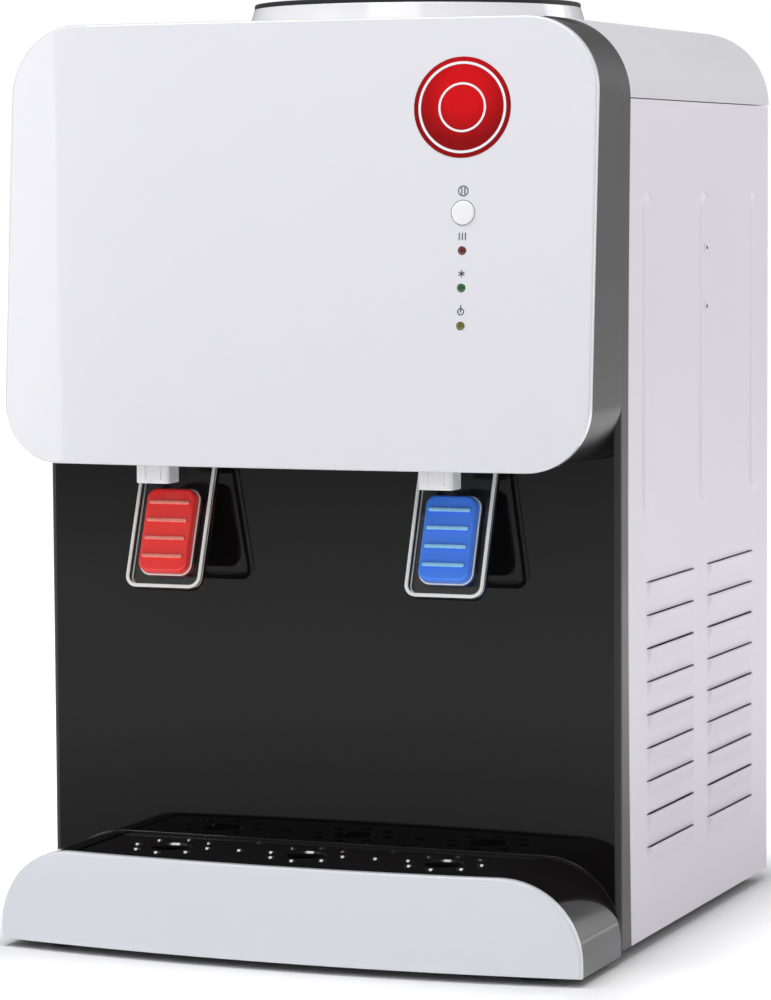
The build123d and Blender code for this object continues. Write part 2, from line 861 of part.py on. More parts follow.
def valve_stem(x):
    """Stem that the lever lifts, with the collar that shuts the valve."""
    with BuildPart() as stem:
        with BuildSketch(Plane.XY.offset(stem_bottom)):
            with Locations((x, valve_y)):
                Circle(stem_tip_radius)
        extrude(amount=stem_tip_height)
        with BuildSketch(Plane.XY.offset(stem_bottom + stem_tip_height)):
            with Locations((x, valve_y)):
                Circle(stem_radius)
        extrude(amount=stem_top - stem_bottom - stem_tip_height)
        with BuildSketch(Plane.XY.offset(stem_collar_bottom)):
            with Locations((x, valve_y)):
                Circle(stem_collar_radius)
        extrude(amount=stem_collar_thickness)
    return stem


def lever_plane(x):
    """Plane of a lever's back face, facing the cup."""
    return Plane(origin=(x, panel_y - lever_reach, lever_level), x_dir=(1, 0, 0), z_dir=lever_facing)


def lever(x):
    """Clear lever: a rimmed plate, and an arm that runs to the hub and under the stem."""
    plane = lever_plane(x)
    height = lever_below + lever_above
    middle = (lever_above - lever_below) / 2
    plate_top = plane.from_local_coords((0, lever_above - lever_corner, lever_plate / 2))
    with BuildPart() as piece:
        with BuildSketch(plane):
            with Locations((0, middle)):
                RectangleRounded(lever_width, height, lever_corner)
        extrude(amount=lever_plate)
        with BuildSketch(plane):
            with Locations((0, middle)):
                RectangleRounded(lever_width, height, lever_corner)
                RectangleRounded(
                    lever_width - 2 * lever_rim,
                    height - 2 * lever_rim,
                    lever_corner - lever_rim,
                    mode=Mode.SUBTRACT,
                )
        extrude(amount=lever_depth)
        with BuildSketch(Plane.YZ.offset(x - arm_width / 2)):
            with BuildLine():
                Polyline(
                    (plate_top.Y, arm_top),
                    (pivot_y, arm_top),
                    (pivot_y, arm_top - arm_depth),
                    (plate_top.Y - arm_depth, arm_top - arm_depth),
                    (plate_top.Y - arm_depth / 2, arm_top - arm_drop),
                    (plate_top.Y, arm_top - arm_drop),
                    close=True,
                )
            make_face()
        extrude(amount=arm_width)
        with BuildSketch(Plane.YZ.offset(x - hub_width / 2)):
            with Locations((pivot_y, pivot_height)):
                Circle(hub_radius)
        extrude(amount=hub_width)
        with BuildSketch(Plane.YZ.offset(x - hub_width / 2)):
            with Locations((pivot_y, pivot_height)):
                Circle(pin_radius + running_gap)
        extrude(amount=hub_width, mode=Mode.SUBTRACT)
    return piece


def lever_pad(x):
    """Coloured pad on the lever, with raised ridges across it."""
    plane = lever_plane(x)
    with BuildPart() as pad:
        with BuildSketch(plane.offset(lever_plate)):
            with Locations((0, pad_shift)):
                RectangleRounded(pad_width, pad_length, pad_corner)
        extrude(amount=pad_depth)
        with BuildSketch(plane.offset(lever_plate + pad_depth)):
            with Locations((0, pad_shift)):
                with GridLocations(0, ridge_pitch, 1, ridge_count):
                    SlotOverall(ridge_width, ridge_height)
        extrude(amount=ridge_proud)
    return pad


for tap_name, x in (("hot", -tap_x), ("cold", tap_x)):
    save(tap_body(x), f"{tap_name}_tap_body")
    save(valve_stem(x), f"{tap_name}_valve_stem")
    save(lever(x), f"{tap_name}_lever")
    save(lever_pad(x), f"{tap_name}_pad")

# Nuts on the two shanks, behind the panel
with BuildPart() as tap_nuts:
    with BuildSketch(front_plane(panel_back_y)):
        with Locations((-tap_x, barrel_height), (tap_x, barrel_height)):
            RegularPolygon(nut_radius, 6)
            Circle(shank_radius, mode=Mode.SUBTRACT)
    extrude(amount=-nut_thickness)
save(tap_nuts, "tap_nuts")

# Hinge pins through the ears and the levers' hubs
with BuildPart() as hinge_pins:
    pin_length = hub_width + 2 * (seat_gap + ear_thickness)
    for x in (-tap_x, tap_x):
        with BuildSketch(Plane.YZ.offset(x - pin_length / 2)):
            with Locations((pivot_y, pivot_height)):
                Circle(pin_radius)
        extrude(amount=pin_length)
save(hinge_pins, "hinge_pins")

# Valve springs above the stems' collars, at their pressed length
with BuildPart() as valve_springs:
    stem_lift = stem_lift_arm * radians(lever_press)
    spring_bottom = stem_collar_bottom + stem_collar_thickness + stem_lift + seat_gap
    with BuildSketch(Plane.XY.offset(spring_bottom)):
        with Locations((-tap_x, valve_y), (tap_x, valve_y)):
            Circle(valve_spring_outer)
            Circle(valve_spring_inner, mode=Mode.SUBTRACT)
    extrude(amount=chamber_top - valve_floor - spring_bottom)
save(valve_springs, "valve_springs")

# Bottle collar, a tapered ring on the cover
with BuildPart() as bottle_collar:
    with BuildSketch(Plane.XZ.offset(-collar_y)):
        with BuildLine():
            Polyline(
                (collar_bore, case_top),
                (collar_base_radius, case_top),
                (collar_top_radius, case_top + collar_rise),
                (collar_bore, case_top + collar_rise),
                close=True,
            )
        make_face()
    revolve(axis=Axis((0, collar_y, 0), (0, 0, 1)))
save(bottle_collar, "bottle_collar")

# Seal ring on the collar, round at its outer upper edge
with BuildPart() as collar_seal:
    with BuildSketch(Plane.XY.offset(case_top + collar_rise)):
        with Locations((0, collar_y)):
            Circle(collar_top_radius)
            Circle(collar_bore, mode=Mode.SUBTRACT)
    extrude(amount=seal_thickness)
    fillet(edges().group_by(Axis.Z)[-1], seal_round)
save(collar_seal, "collar_seal")

# Bottle seat: a funnel under the collar, its neck and the outlet to the cold tank
with BuildPart() as bottle_seat:
    with BuildSketch(Plane.XZ.offset(-collar_y)):
        with BuildLine():
            Polyline(
                (collar_bore + seat_rim, case_top),
                (collar_bore + seat_rim, case_top - seat_rim_height),
                (seat_neck_radius + seat_wall, seat_neck_top - seat_wall),
                (seat_neck_radius + seat_wall, seat_neck_bottom - seat_wall),
                (seat_outlet_radius + seat_wall, seat_neck_bottom - seat_wall),
                (seat_outlet_radius + seat_wall, seat_outlet_bottom),
                (seat_outlet_radius, seat_outlet_bottom),
                (seat_outlet_radius, seat_neck_bottom),
                (seat_neck_radius, seat_neck_bottom),
                (seat_neck_radius, seat_neck_top),
                (collar_bore, case_top - seat_rim_height + seat_wall),
                (collar_bore, case_top),
                close=True,
            )
        make_face()
    revolve(axis=Axis((0, collar_y, 0), (0, 0, 1)))
save(bottle_seat, "bottle_seat")

# Feed probe on the floor of the neck, with ports at the top and the foot
with BuildPart() as feed_probe:
    probe_top = seat_neck_bottom + probe_height
    with BuildSketch(Plane.XY.offset(seat_neck_bottom)):
        with Locations((0, collar_y)):
            Circle(probe_foot_radius)
    extrude(amount=probe_foot_thickness)
    with BuildSketch(Plane.XY.offset(seat_neck_bottom)):
        with Locations((0, collar_y)):
            Circle(probe_radius)
    extrude(amount=probe_height)
    fillet(edges().group_by(Axis.Z)[-1], probe_radius - probe_bore)
    with BuildSketch(Plane.XY.offset(seat_neck_bottom)):
        with Locations((0, collar_y)):
            Circle(probe_bore)
    extrude(amount=probe_height - probe_radius, mode=Mode.SUBTRACT)
    with BuildSketch(Plane.YZ):
        with Locations((collar_y, probe_top - 2 * probe_radius), (collar_y, seat_neck_bottom + probe_radius)):
            Rectangle(probe_port, probe_port)
    extrude(amount=2 * probe_radius, both=True, mode=Mode.SUBTRACT)
save(feed_probe, "feed_probe")

# Shelf across the case under the cold tank
shelf_top = shelf_height + shelf_sheet
shelf_front = side_front_y + joint_gap
cold_outlet_y = collar_y - sqrt((cold_radius - tank_wall) ** 2 - cold_outlet_x**2)
with BuildPart() as tank_shelf:
    with BuildSketch(Plane.XY.offset(shelf_height)):
        with Locations((0, (rear_inner_y + shelf_front) / 2)):
            Rectangle(2 * inner_half, rear_inner_y - shelf_front)
        with Locations((feed_x, collar_y), (-tap_x, collar_y - hot_hose_set)):
            Circle(hose_radius + hose_gap, mode=Mode.SUBTRACT)
    extrude(amount=shelf_sheet)
    for side in (-1, 1):
        with BuildSketch(Plane.XY.offset(shelf_height - shelf_lip)):
            with Locations((side * (inner_half - shelf_sheet / 2), (rear_inner_y + shelf_front) / 2)):
                Rectangle(shelf_sheet, rear_inner_y - shelf_front)
        extrude(amount=shelf_lip)
save(tank_shelf, "tank_shelf")

# Cold tank with its inlet neck, inside a foam jacket
cold_bottom = shelf_top + jacket_floor
cold_top = cold_bottom + cold_height
inlet_radius = seat_outlet_radius + seat_wall + slide_gap
with BuildPart() as cold_tank:
    with BuildSketch(Plane.XY.offset(cold_bottom)):
        with Locations((0, collar_y)):
            Circle(cold_radius)
    extrude(amount=cold_height)
    with BuildSketch(Plane.XY.offset(cold_top)):
        with Locations((0, collar_y)):
            Circle(inlet_radius + inlet_wall)
    extrude(amount=inlet_height)
    with BuildSketch(Plane.XY.offset(cold_bottom + tank_wall)):
        with Locations((0, collar_y)):
            Circle(cold_radius - tank_wall)
    extrude(amount=cold_height - 2 * tank_wall, mode=Mode.SUBTRACT)
    with BuildSketch(Plane.XY.offset(cold_top - tank_wall)):
        with Locations((0, collar_y)):
            Circle(inlet_radius)
    extrude(amount=inlet_height + tank_wall, mode=Mode.SUBTRACT)
    with BuildSketch(front_plane(collar_y)):
        with Locations((cold_outlet_x, barrel_height)):
            Circle(hose_radius)
    extrude(amount=cold_radius, mode=Mode.SUBTRACT)
save(cold_tank, "cold_tank")

with BuildPart() as cold_jacket:
    with BuildSketch(Plane.XY.offset(shelf_top)):
        with Locations((0, collar_y)):
            Circle(jacket_radius)
    extrude(amount=jacket_floor + cold_height)
    with BuildSketch(Plane.XY.offset(cold_bottom)):
        with Locations((0, collar_y)):
            Circle(cold_radius)
    extrude(amount=cold_height, mode=Mode.SUBTRACT)
    with BuildSketch(front_plane(collar_y)):
        with Locations((0, sink_level)):
            Rectangle(block_width + 2 * slide_gap, block_width + 2 * slide_gap)
    extrude(amount=-jacket_radius, mode=Mode.SUBTRACT)
    with BuildSketch(front_plane(collar_y)):
        with Locations((cold_outlet_x, barrel_height)):
            Circle(hose_radius + hose_gap)
    extrude(amount=jacket_radius, mode=Mode.SUBTRACT)
    with BuildSketch(Plane.XY.offset(shelf_top)):
        with Locations((feed_x, collar_y)):
            Circle(hose_radius + hose_gap)
    extrude(amount=jacket_floor, mode=Mode.SUBTRACT)
save(cold_jacket, "cold_jacket")

with BuildPart() as cooling_block:
    with BuildSketch(front_plane(module_front_y)):
        with Locations((0, sink_level)):
            Rectangle(block_width, block_width)
    extrude(amount=module_front_y - collar_y)
    with BuildSketch(Plane.XY.offset(cold_bottom)):
        with Locations((0, collar_y)):
            Circle(cold_radius)
    extrude(amount=cold_height, mode=Mode.SUBTRACT)
save(cooling_block, "cooling_block")

with BuildPart() as cooling_module:
    with BuildSketch(front_plane(sink_front_y)):
        with Locations((0, sink_level)):
            Rectangle(module_width, module_width)
    extrude(amount=module_thickness)
save(cooling_module, "cooling_module")

with BuildPart() as heat_sink:
    with BuildSketch(front_plane(sink_front_y)):
        with Locations((0, sink_level)):
            Rectangle(sink_width, sink_width)
    extrude(amount=-sink_base)
    with BuildSketch(front_plane(sink_front_y + sink_base)):
        with Locations((0, sink_level)):
            with GridLocations((sink_width - sink_fin) / (sink_fins - 1), 0, sink_fins, 1):
                Rectangle(sink_fin, sink_width)
    extrude(amount=-sink_fin_depth)
save(heat_sink, "heat_sink")

# Fan frame on the rear panel, with a motor mount on struts
with BuildPart() as fan_frame:
    with BuildSketch(front_plane(rear_inner_y)):
        with Locations((0, sink_level)):
            RectangleRounded(fan_width, fan_width, fan_corner)
            Circle(fan_bore, mode=Mode.SUBTRACT)
    extrude(amount=fan_depth)
    with BuildSketch(front_plane(rear_inner_y)):
        with Locations((0, sink_level)):
            Circle(fan_hub)
            with PolarLocations(fan_bore / 2, fan_struts):
                Rectangle(fan_bore + fan_corner, fan_strut_width)
            Circle(fan_shaft + running_gap, mode=Mode.SUBTRACT)
    extrude(amount=fan_mount)
save(fan_frame, "fan_frame")

# Fan rotor: hub, shaft and pitched blades
rotor_back_y = rear_inner_y - fan_mount - slide_gap
with BuildPart() as fan_rotor:
    with BuildSketch(front_plane(rotor_back_y)):
        with Locations((0, sink_level)):
            Circle(fan_hub)
    extrude(amount=fan_hub_depth)
    with BuildSketch(front_plane(rotor_back_y)):
        with Locations((0, sink_level)):
            Circle(fan_shaft)
    extrude(amount=-fan_shaft_reach)
    blade_reach = fan_bore - fan_blade_gap
    for index in range(fan_blades):
        turn = radians(360 / fan_blades * index)
        outwards = (cos(turn), 0, sin(turn))
        across = (-sin(turn), 0, cos(turn))
        pitch = radians(fan_blade_pitch)
        chord = (across[0] * cos(pitch), sin(pitch), across[2] * cos(pitch))
        blade_plane = Plane(
            origin=(0, rotor_back_y - fan_hub_depth / 2, sink_level), x_dir=chord, z_dir=outwards
        )
        with BuildSketch(blade_plane.offset(fan_hub / 2)):
            Rectangle(fan_blade_depth / sin(pitch), fan_blade_sheet)
        extrude(amount=blade_reach - fan_hub / 2)
    with BuildSketch(front_plane(rotor_back_y + fan_shaft_reach)):
        with Locations((0, sink_level)):
            Circle(blade_reach)
    extrude(amount=fan_depth + fan_shaft_reach, mode=Mode.INTERSECT)
save(fan_rotor, "fan_rotor")

# Hot tank on its stand, with the heater band, jacket and thermostats
hot_bottom = base_top + stand_height
hot_top = hot_bottom + hot_height
with BuildPart() as hot_stand:
    with BuildSketch(Plane.XY.offset(hot_bottom - stand_sheet)):
        with Locations((hot_x, collar_y)):
            Circle(hot_radius)
            Circle(hot_radius - stand_ring, mode=Mode.SUBTRACT)
    extrude(amount=stand_sheet)
    with BuildSketch(Plane.XY.offset(base_top)):
        with Locations((hot_x, collar_y)):
            with PolarLocations(hot_radius - stand_ring / 2, stand_legs, start_angle=30):
                Circle(stand_leg_radius)
    extrude(amount=stand_height - stand_sheet)
save(hot_stand, "hot_tank_stand")

with BuildPart() as hot_tank:
    with BuildSketch(Plane.XY.offset(hot_bottom)):
        with Locations((hot_x, collar_y)):
            Circle(hot_radius)
    extrude(amount=hot_height)
    with BuildSketch(Plane.XY.offset(hot_bottom + tank_wall)):
        with Locations((hot_x, collar_y)):
            Circle(hot_radius - tank_wall)
    extrude(amount=hot_height - 2 * tank_wall, mode=Mode.SUBTRACT)
save(hot_tank, "hot_tank")

for ring_name, ring_set, ring_height, ring_wall in (
    ("heater_band", band_set, band_height, band_thickness),
    ("hot_jacket", hot_jacket_set, hot_jacket_height, hot_jacket_thickness),
):
    with BuildPart() as tank_ring:
        with BuildSketch(Plane.XY.offset(hot_bottom + ring_set)):
            with Locations((hot_x, collar_y)):
                Circle(hot_radius + ring_wall)
                Circle(hot_radius, mode=Mode.SUBTRACT)
        extrude(amount=ring_height)
    save(tank_ring, ring_name)

with BuildPart() as thermostats:
    with BuildSketch(Plane.XY.offset(hot_top)):
        with Locations((hot_x, collar_y + thermostat_set)):
            with GridLocations(thermostat_pitch, 0, 2, 1):
                Circle(thermostat_radius)
    extrude(amount=thermostat_height)
save(thermostats, "thermostats")


def hose(points, bend):
    """Hollow hose along straight runs joined by bends."""
    first = Vector(*points[0])
    second = Vector(*points[1])
    with BuildPart() as tube:
        with BuildLine():
            if len(points) > 2:
                FilletPolyline(*points, radius=bend)
            else:
                Line(*points)
        with BuildSketch(Plane(origin=first, z_dir=second - first)):
            Circle(hose_radius)
            Circle(hose_bore, mode=Mode.SUBTRACT)
        sweep()
    return tube


shank_end_y = panel_y + shank_length
jacket_exit_y = collar_y - sqrt(jacket_radius**2 - cold_outlet_x**2)
save(hose([(feed_x, collar_y, hot_top), (feed_x, collar_y, cold_bottom)], hose_bend), "feed_hose")
save(
    hose(
        [
            (-tap_x, collar_y - hot_hose_set, hot_top),
            (-tap_x, collar_y - hot_hose_set, barrel_height),
            (-tap_x, shank_end_y, barrel_height),
        ],
        hot_hose_bend,
    ),
    "hot_hose",
)
save(
    hose(
        [
            (cold_outlet_x, cold_outlet_y, barrel_height),
            (cold_outlet_x, jacket_exit_y - hose_run, barrel_height),
            (tap_x, shank_end_y + hose_run, barrel_height),
            (tap_x, shank_end_y, barrel_height),
        ],
        hose_bend,
    ),
    "cold_hose",
)
drain_inside_y = rear_inner_y - gland_inside
save(
    hose(
        [
            (hot_x, collar_y, hot_bottom),
            (hot_x, collar_y, drain_level),
            (hot_x, drain_inside_y, drain_level),
        ],
        hose_bend,
    ),
    "drain_hose",
)

# Drain fitting through the rear panel and the cap on it
with BuildPart() as drain_fitting:
    with BuildSketch(front_plane(drain_inside_y)):
        with Locations((hot_x, drain_level)):
            Circle(drain_tube_radius)
    extrude(amount=drain_inside_y - rear_y)
    with BuildSketch(front_plane(rear_inner_y)):
        with Locations((hot_x, drain_level)):
            Circle(drain_flange_radius)
    extrude(amount=drain_flange_thickness)
    with BuildSketch(front_plane(drain_inside_y)):
        with Locations((hot_x, drain_level)):
            Circle(hose_bore)
    extrude(amount=drain_inside_y - rear_y, mode=Mode.SUBTRACT)
save(drain_fitting, "drain_fitting")

with BuildPart() as drain_cap:
    with BuildSketch(front_plane(rear_outer_y)):
        with Locations((hot_x, drain_level)):
            Circle(drain_cap_radius)
    extrude(amount=-(rear_recess + rear_reach))
    with BuildSketch(front_plane(rear_outer_y)):
        with Locations((hot_x, drain_level)):
            Circle(drain_tube_radius)
    extrude(amount=-rear_recess, mode=Mode.SUBTRACT)
save(drain_cap, "drain_cap")

# Gland for the mains lead
with BuildPart() as cord_gland:
    with BuildSketch(front_plane(rear_outer_y)):
        with Locations((gland_x, gland_level)):
            Circle(gland_radius)
    extrude(amount=side_sheet + gland_inside)
    with BuildSketch(front_plane(rear_outer_y)):
        with Locations((gland_x, gland_level)):
            Circle(gland_flange)
    extrude(amount=-gland_proud)
    with BuildSketch(front_plane(rear_outer_y + gland_proud)):
        with Locations((gland_x, gland_level)):
            Circle(gland_bore)
    extrude(amount=gland_proud + side_sheet + gland_inside, mode=Mode.SUBTRACT)
save(cord_gland, "cord_gland")

# Rocker switches: one holder and one rocker each
rocker_y = rear_outer_y - rocker_set
for rocker_name, level in zip(("heating", "cooling"), rocker_levels):
    with BuildPart() as holder:
        with BuildSketch(front_plane(rear_outer_y)):
            with Locations((rocker_x, level)):
                Rectangle(holder_width, holder_height)
        extrude(amount=holder_depth)
        with BuildSketch(front_plane(rear_outer_y)):
            with Locations((rocker_x, level)):
                Rectangle(holder_width + 2 * holder_bezel, holder_height + 2 * holder_bezel)
        extrude(amount=-holder_bezel_thickness)
        pocket_radius = rocker_radius + rocker_gap
        pocket_width = rocker_width + 2 * rocker_gap
        with BuildSketch(Plane.YZ.offset(rocker_x - pocket_width / 2)):
            with Locations((rocker_y, level)):
                Circle(pocket_radius)
            with Locations((rocker_y + pocket_radius, level)):
                Rectangle(2 * pocket_radius, 2 * pocket_radius)
        extrude(amount=pocket_width, mode=Mode.SUBTRACT)
        with BuildSketch(Plane.YZ.offset(rocker_x - pocket_width / 2 - rocker_pin_length)):
            with Locations((rocker_y, level)):
                Circle(rocker_pin_radius + running_gap)
        extrude(amount=pocket_width + 2 * rocker_pin_length, mode=Mode.SUBTRACT)
    save(holder, f"{rocker_name}_switch_holder")
    with BuildPart() as rocker:
        with BuildSketch(Plane.YZ.offset(rocker_x - rocker_width / 2)):
            with Locations((rocker_y, level)):
                Circle(rocker_radius)
            with BuildLine():
                Polyline(
                    (rocker_y + rocker_radius - rocker_notch, level),
                    (rocker_y + rocker_radius, level + rocker_radius),
                    (rocker_y + 2 * rocker_radius, level),
                    (rocker_y + rocker_radius, level - rocker_radius),
                    close=True,
                )
            make_face(mode=Mode.SUBTRACT)
        extrude(amount=rocker_width)
        with BuildSketch(Plane.YZ.offset(rocker_x - rocker_width / 2 - rocker_pin_length)):
            with Locations((rocker_y, level)):
                Circle(rocker_pin_radius)
        extrude(amount=rocker_width + 2 * rocker_pin_length)
    save(rocker, f"{rocker_name}_rocker")

# Power supply on the base plate
with BuildPart() as power_supply:
    with BuildSketch(Plane.XY.offset(base_top + base_sheet)):
        with Locations((supply_x, collar_y)):
            Rectangle(supply_size[0], supply_size[1])
    extrude(amount=supply_size[2])
save(power_supply, "power_supply")
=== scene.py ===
"""Countertop water dispenser: the looks of every piece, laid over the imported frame.

Lengths are in millimetres until a piece is published, which turns them into metres.
X runs left to right, Y from the front to the rear, Z up from the surface it stands on.
"""

import json
import logging
from dataclasses import dataclass, field
from enum import Enum
from math import cos, hypot, pi, radians, sin, sqrt, tan
from typing import Iterable, Sequence

import bmesh
import bpy
from mathutils import Matrix, Vector

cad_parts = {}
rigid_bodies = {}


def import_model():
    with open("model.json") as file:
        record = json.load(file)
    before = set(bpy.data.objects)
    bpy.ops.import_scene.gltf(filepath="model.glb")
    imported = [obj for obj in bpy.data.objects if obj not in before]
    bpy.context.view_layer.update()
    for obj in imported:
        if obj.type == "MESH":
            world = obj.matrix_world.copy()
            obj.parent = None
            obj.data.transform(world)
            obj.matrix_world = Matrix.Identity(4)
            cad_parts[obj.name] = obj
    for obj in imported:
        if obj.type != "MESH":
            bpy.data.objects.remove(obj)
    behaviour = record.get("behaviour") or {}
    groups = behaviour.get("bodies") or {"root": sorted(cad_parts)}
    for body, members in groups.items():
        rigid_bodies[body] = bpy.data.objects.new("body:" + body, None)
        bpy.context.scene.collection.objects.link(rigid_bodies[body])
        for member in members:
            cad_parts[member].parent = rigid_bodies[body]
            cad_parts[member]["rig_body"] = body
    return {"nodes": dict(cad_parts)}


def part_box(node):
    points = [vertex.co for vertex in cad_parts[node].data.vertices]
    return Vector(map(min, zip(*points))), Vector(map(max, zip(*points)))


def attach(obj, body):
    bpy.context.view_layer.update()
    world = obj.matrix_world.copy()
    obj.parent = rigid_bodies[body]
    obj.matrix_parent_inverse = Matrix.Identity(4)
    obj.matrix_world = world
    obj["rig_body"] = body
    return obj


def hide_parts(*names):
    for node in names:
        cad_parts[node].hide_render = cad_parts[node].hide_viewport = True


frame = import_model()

log = logging.getLogger("dispenser")

MM = 0.001
CASE = "case"

TAP_X = 73.1
ARCH_SEGMENTS = 28
HAIR = 0.1
TINY = 0.01
FRONT, REAR = (0, -1, 0), (0, 1, 0)
DOWN, UP = (0, 0, -1), (0, 0, 1)

Colour = tuple[float, float, float]
Point = Sequence[float]
Dome = tuple[tuple[float, float], ...]
Socket = bpy.types.NodeSocket
Mesh = bmesh.types.BMesh
Vert = bmesh.types.BMVert
Edge = bmesh.types.BMEdge
Face = bmesh.types.BMFace


class Side(Enum):
    """Left and right, as the sign of X."""

    LEFT = -1
    RIGHT = 1


class Water(Enum):
    """What a tap gives, as the first word of its nodes' names."""

    HOT = "hot"
    COLD = "cold"


class Axis(Enum):
    """Index of a coordinate."""

    X = 0
    Y = 1
    Z = 2


def linear(red: int, green: int, blue: int) -> Colour:
    """Turn a screen colour into a linear one.

    Args:
        red: Red from 0 to 255.
        green: Green from 0 to 255.
        blue: Blue from 0 to 255.

    Returns:
        The linear colour, each part from 0 to 1.
    """
    shares = (part / 255 for part in (red, green, blue))
    return tuple(s / 12.92 if s <= 0.04045 else ((s + 0.055) / 1.055) ** 2.4 for s in shares)


def smoothstep(share: float) -> float:
    """Ease a share from 0 to 1, held outside that."""
    held = max(0.0, min(1.0, share))
    return held * held * (3 - 2 * held)


@dataclass(frozen=True)
class Box:
    """Corners of one or more CAD nodes, in millimetres."""

    low: Vector
    high: Vector

    @classmethod
    def of(cls, *nodes: str) -> "Box":
        """Read the box around some CAD nodes.

        Args:
            nodes: Names of the nodes.

        Returns:
            Their common box.
        """
        corners = [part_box(node) for node in nodes]
        low = [min(c[0][i] for c in corners) / MM for i in range(3)]
        high = [max(c[1][i] for c in corners) / MM for i in range(3)]
        return cls(Vector(low), Vector(high))

    @property
    def size(self) -> Vector:
        """Length of each side."""
        return self.high - self.low

    @property
    def middle(self) -> Vector:
        """Centre of the box."""
        return (self.high + self.low) / 2


class Graph:
    """Short way to add and join the nodes of one material."""

    def __init__(self, name: str) -> None:
        """Start a material with a Principled shader."""
        self.material = bpy.data.materials.new(name)
        self.material.use_nodes = True
        self.tree = self.material.node_tree
        self.tree.nodes.clear()
        self.shader = self.add("ShaderNodeBsdfPrincipled")
        output = self.add("ShaderNodeOutputMaterial")
        self.join(self.shader.outputs["BSDF"], output.inputs["Surface"])
        self.place = self.add("ShaderNodeTexCoord").outputs["Object"]

    def add(self, kind: str) -> bpy.types.Node:
        """Add a node of one kind."""
        return self.tree.nodes.new(kind)

    def join(self, start: Socket, end: Socket) -> None:
        """Link two sockets."""
        self.tree.links.new(start, end)

    def mapped(self, scale: Point, shift: Point = (0, 0, 0)) -> Socket:
        """Give object coordinates multiplied along each axis, then shifted."""
        mapping = self.add("ShaderNodeMapping")
        mapping.inputs["Scale"].default_value = scale
        mapping.inputs["Location"].default_value = shift
        self.join(self.place, mapping.inputs["Vector"])
        return mapping.outputs["Vector"]

    def noise(self, scale: float, detail: float = 3.0, stretch: Point = (1, 1, 1)) -> Socket:
        """Add a noise.

        Args:
            scale: Features per metre.
            detail: Octaves of finer noise.
            stretch: Factor on each axis.

        Returns:
            The noise's value socket.
        """
        node = self.add("ShaderNodeTexNoise")
        node.inputs["Scale"].default_value = scale
        node.inputs["Detail"].default_value = detail
        self.join(self.mapped(stretch), node.inputs["Vector"])
        return node.outputs["Fac"]

    def cells(self, scale: float) -> Socket:
        """Add rounded cells, this many per metre."""
        node = self.add("ShaderNodeTexVoronoi")
        node.inputs["Scale"].default_value = scale
        self.join(self.place, node.inputs["Vector"])
        return node.outputs["Distance"]

    def ball(self, centre: Point, reach: float) -> Socket:
        """Give 1 at a centre, falling to 0 at a reach from it."""
        node = self.add("ShaderNodeTexGradient")
        node.gradient_type = "SPHERICAL"
        place = self.mapped([1 / reach] * 3, [-part / reach for part in centre])
        self.join(place, node.inputs["Vector"])
        return node.outputs["Fac"]

    def spread(self, value: Socket, low: float, high: float) -> Socket:
        """Map a noise's middle range to a low and a high value."""
        node = self.add("ShaderNodeMapRange")
        for name, number in (("From Min", 0.3), ("From Max", 0.7), ("To Min", low), ("To Max", high)):
            node.inputs[name].default_value = number
        self.join(value, node.inputs["Value"])
        return node.outputs["Result"]

    def blend(self, share: Socket, low: Colour, high: Colour) -> Socket:
        """Mix two colours by a share."""
        node = self.add("ShaderNodeMix")
        node.data_type = "RGBA"
        node.inputs[6].default_value = (*low, 1)
        node.inputs[7].default_value = (*high, 1)
        self.join(share, node.inputs[0])
        return node.outputs[2]

    def bump(self, height: Socket, depth: float) -> None:
        """Raise the surface by a height, at most depth metres."""
        node = self.add("ShaderNodeBump")
        node.inputs["Distance"].default_value = depth
        self.join(height, node.inputs["Height"])
        self.join(node.outputs["Normal"], self.shader.inputs["Normal"])


@dataclass(frozen=True)
class Finish:
    """A surface with drifting colour, uneven gloss and a fine grain."""

    slot: str
    tint: Colour
    shade: float = 0.95
    rough: float = 0.4
    rough_spread: float = 0.06
    drift: float = 9.0
    grain: float = 900.0
    depth: float = 0.00002

    def pattern(self, graph: Graph) -> Socket:
        """Give the pattern that the colour follows."""
        return graph.noise(self.drift)

    def relief(self, graph: Graph) -> Socket:
        """Give the height that the grain follows."""
        return graph.noise(self.grain, 2.0)

    def settings(self) -> dict[str, float]:
        """Give the shader's inputs that are the same all over the surface."""
        return {"IOR": 1.5}

    def make(self) -> bpy.types.Material:
        """Build the material.

        Returns:
            A node material named after its slot.
        """
        graph = Graph(self.slot)
        darker = tuple(part * self.shade for part in self.tint)
        share = graph.spread(self.pattern(graph), 0.0, 1.0)
        graph.join(graph.blend(share, darker, self.tint), graph.shader.inputs["Base Color"])
        gloss = graph.spread(graph.noise(self.drift * 4), self.rough - self.rough_spread, self.rough)
        graph.join(gloss, graph.shader.inputs["Roughness"])
        graph.bump(self.relief(graph), self.depth)
        for name, number in self.settings().items():
            graph.shader.inputs[name].default_value = number
        return graph.material


@dataclass(frozen=True)
class GlossPlastic(Finish):
    """Polished moulding with a hard clear skin."""

    coat: float = 0.6
    coat_rough: float = 0.04
    specular: float = 0.5

    def settings(self) -> dict[str, float]:
        """Give the clear skin and the strength of the reflection."""
        skin = {"Coat Weight": self.coat, "Coat Roughness": self.coat_rough}
        return {**skin, "Specular IOR Level": self.specular}


@dataclass(frozen=True)
class ClearPlastic(Finish):
    """Clear moulding, with a trace of colour."""

    index: float = 1.49

    def settings(self) -> dict[str, float]:
        """Let light through."""
        return {"Transmission Weight": 1.0, "IOR": self.index}


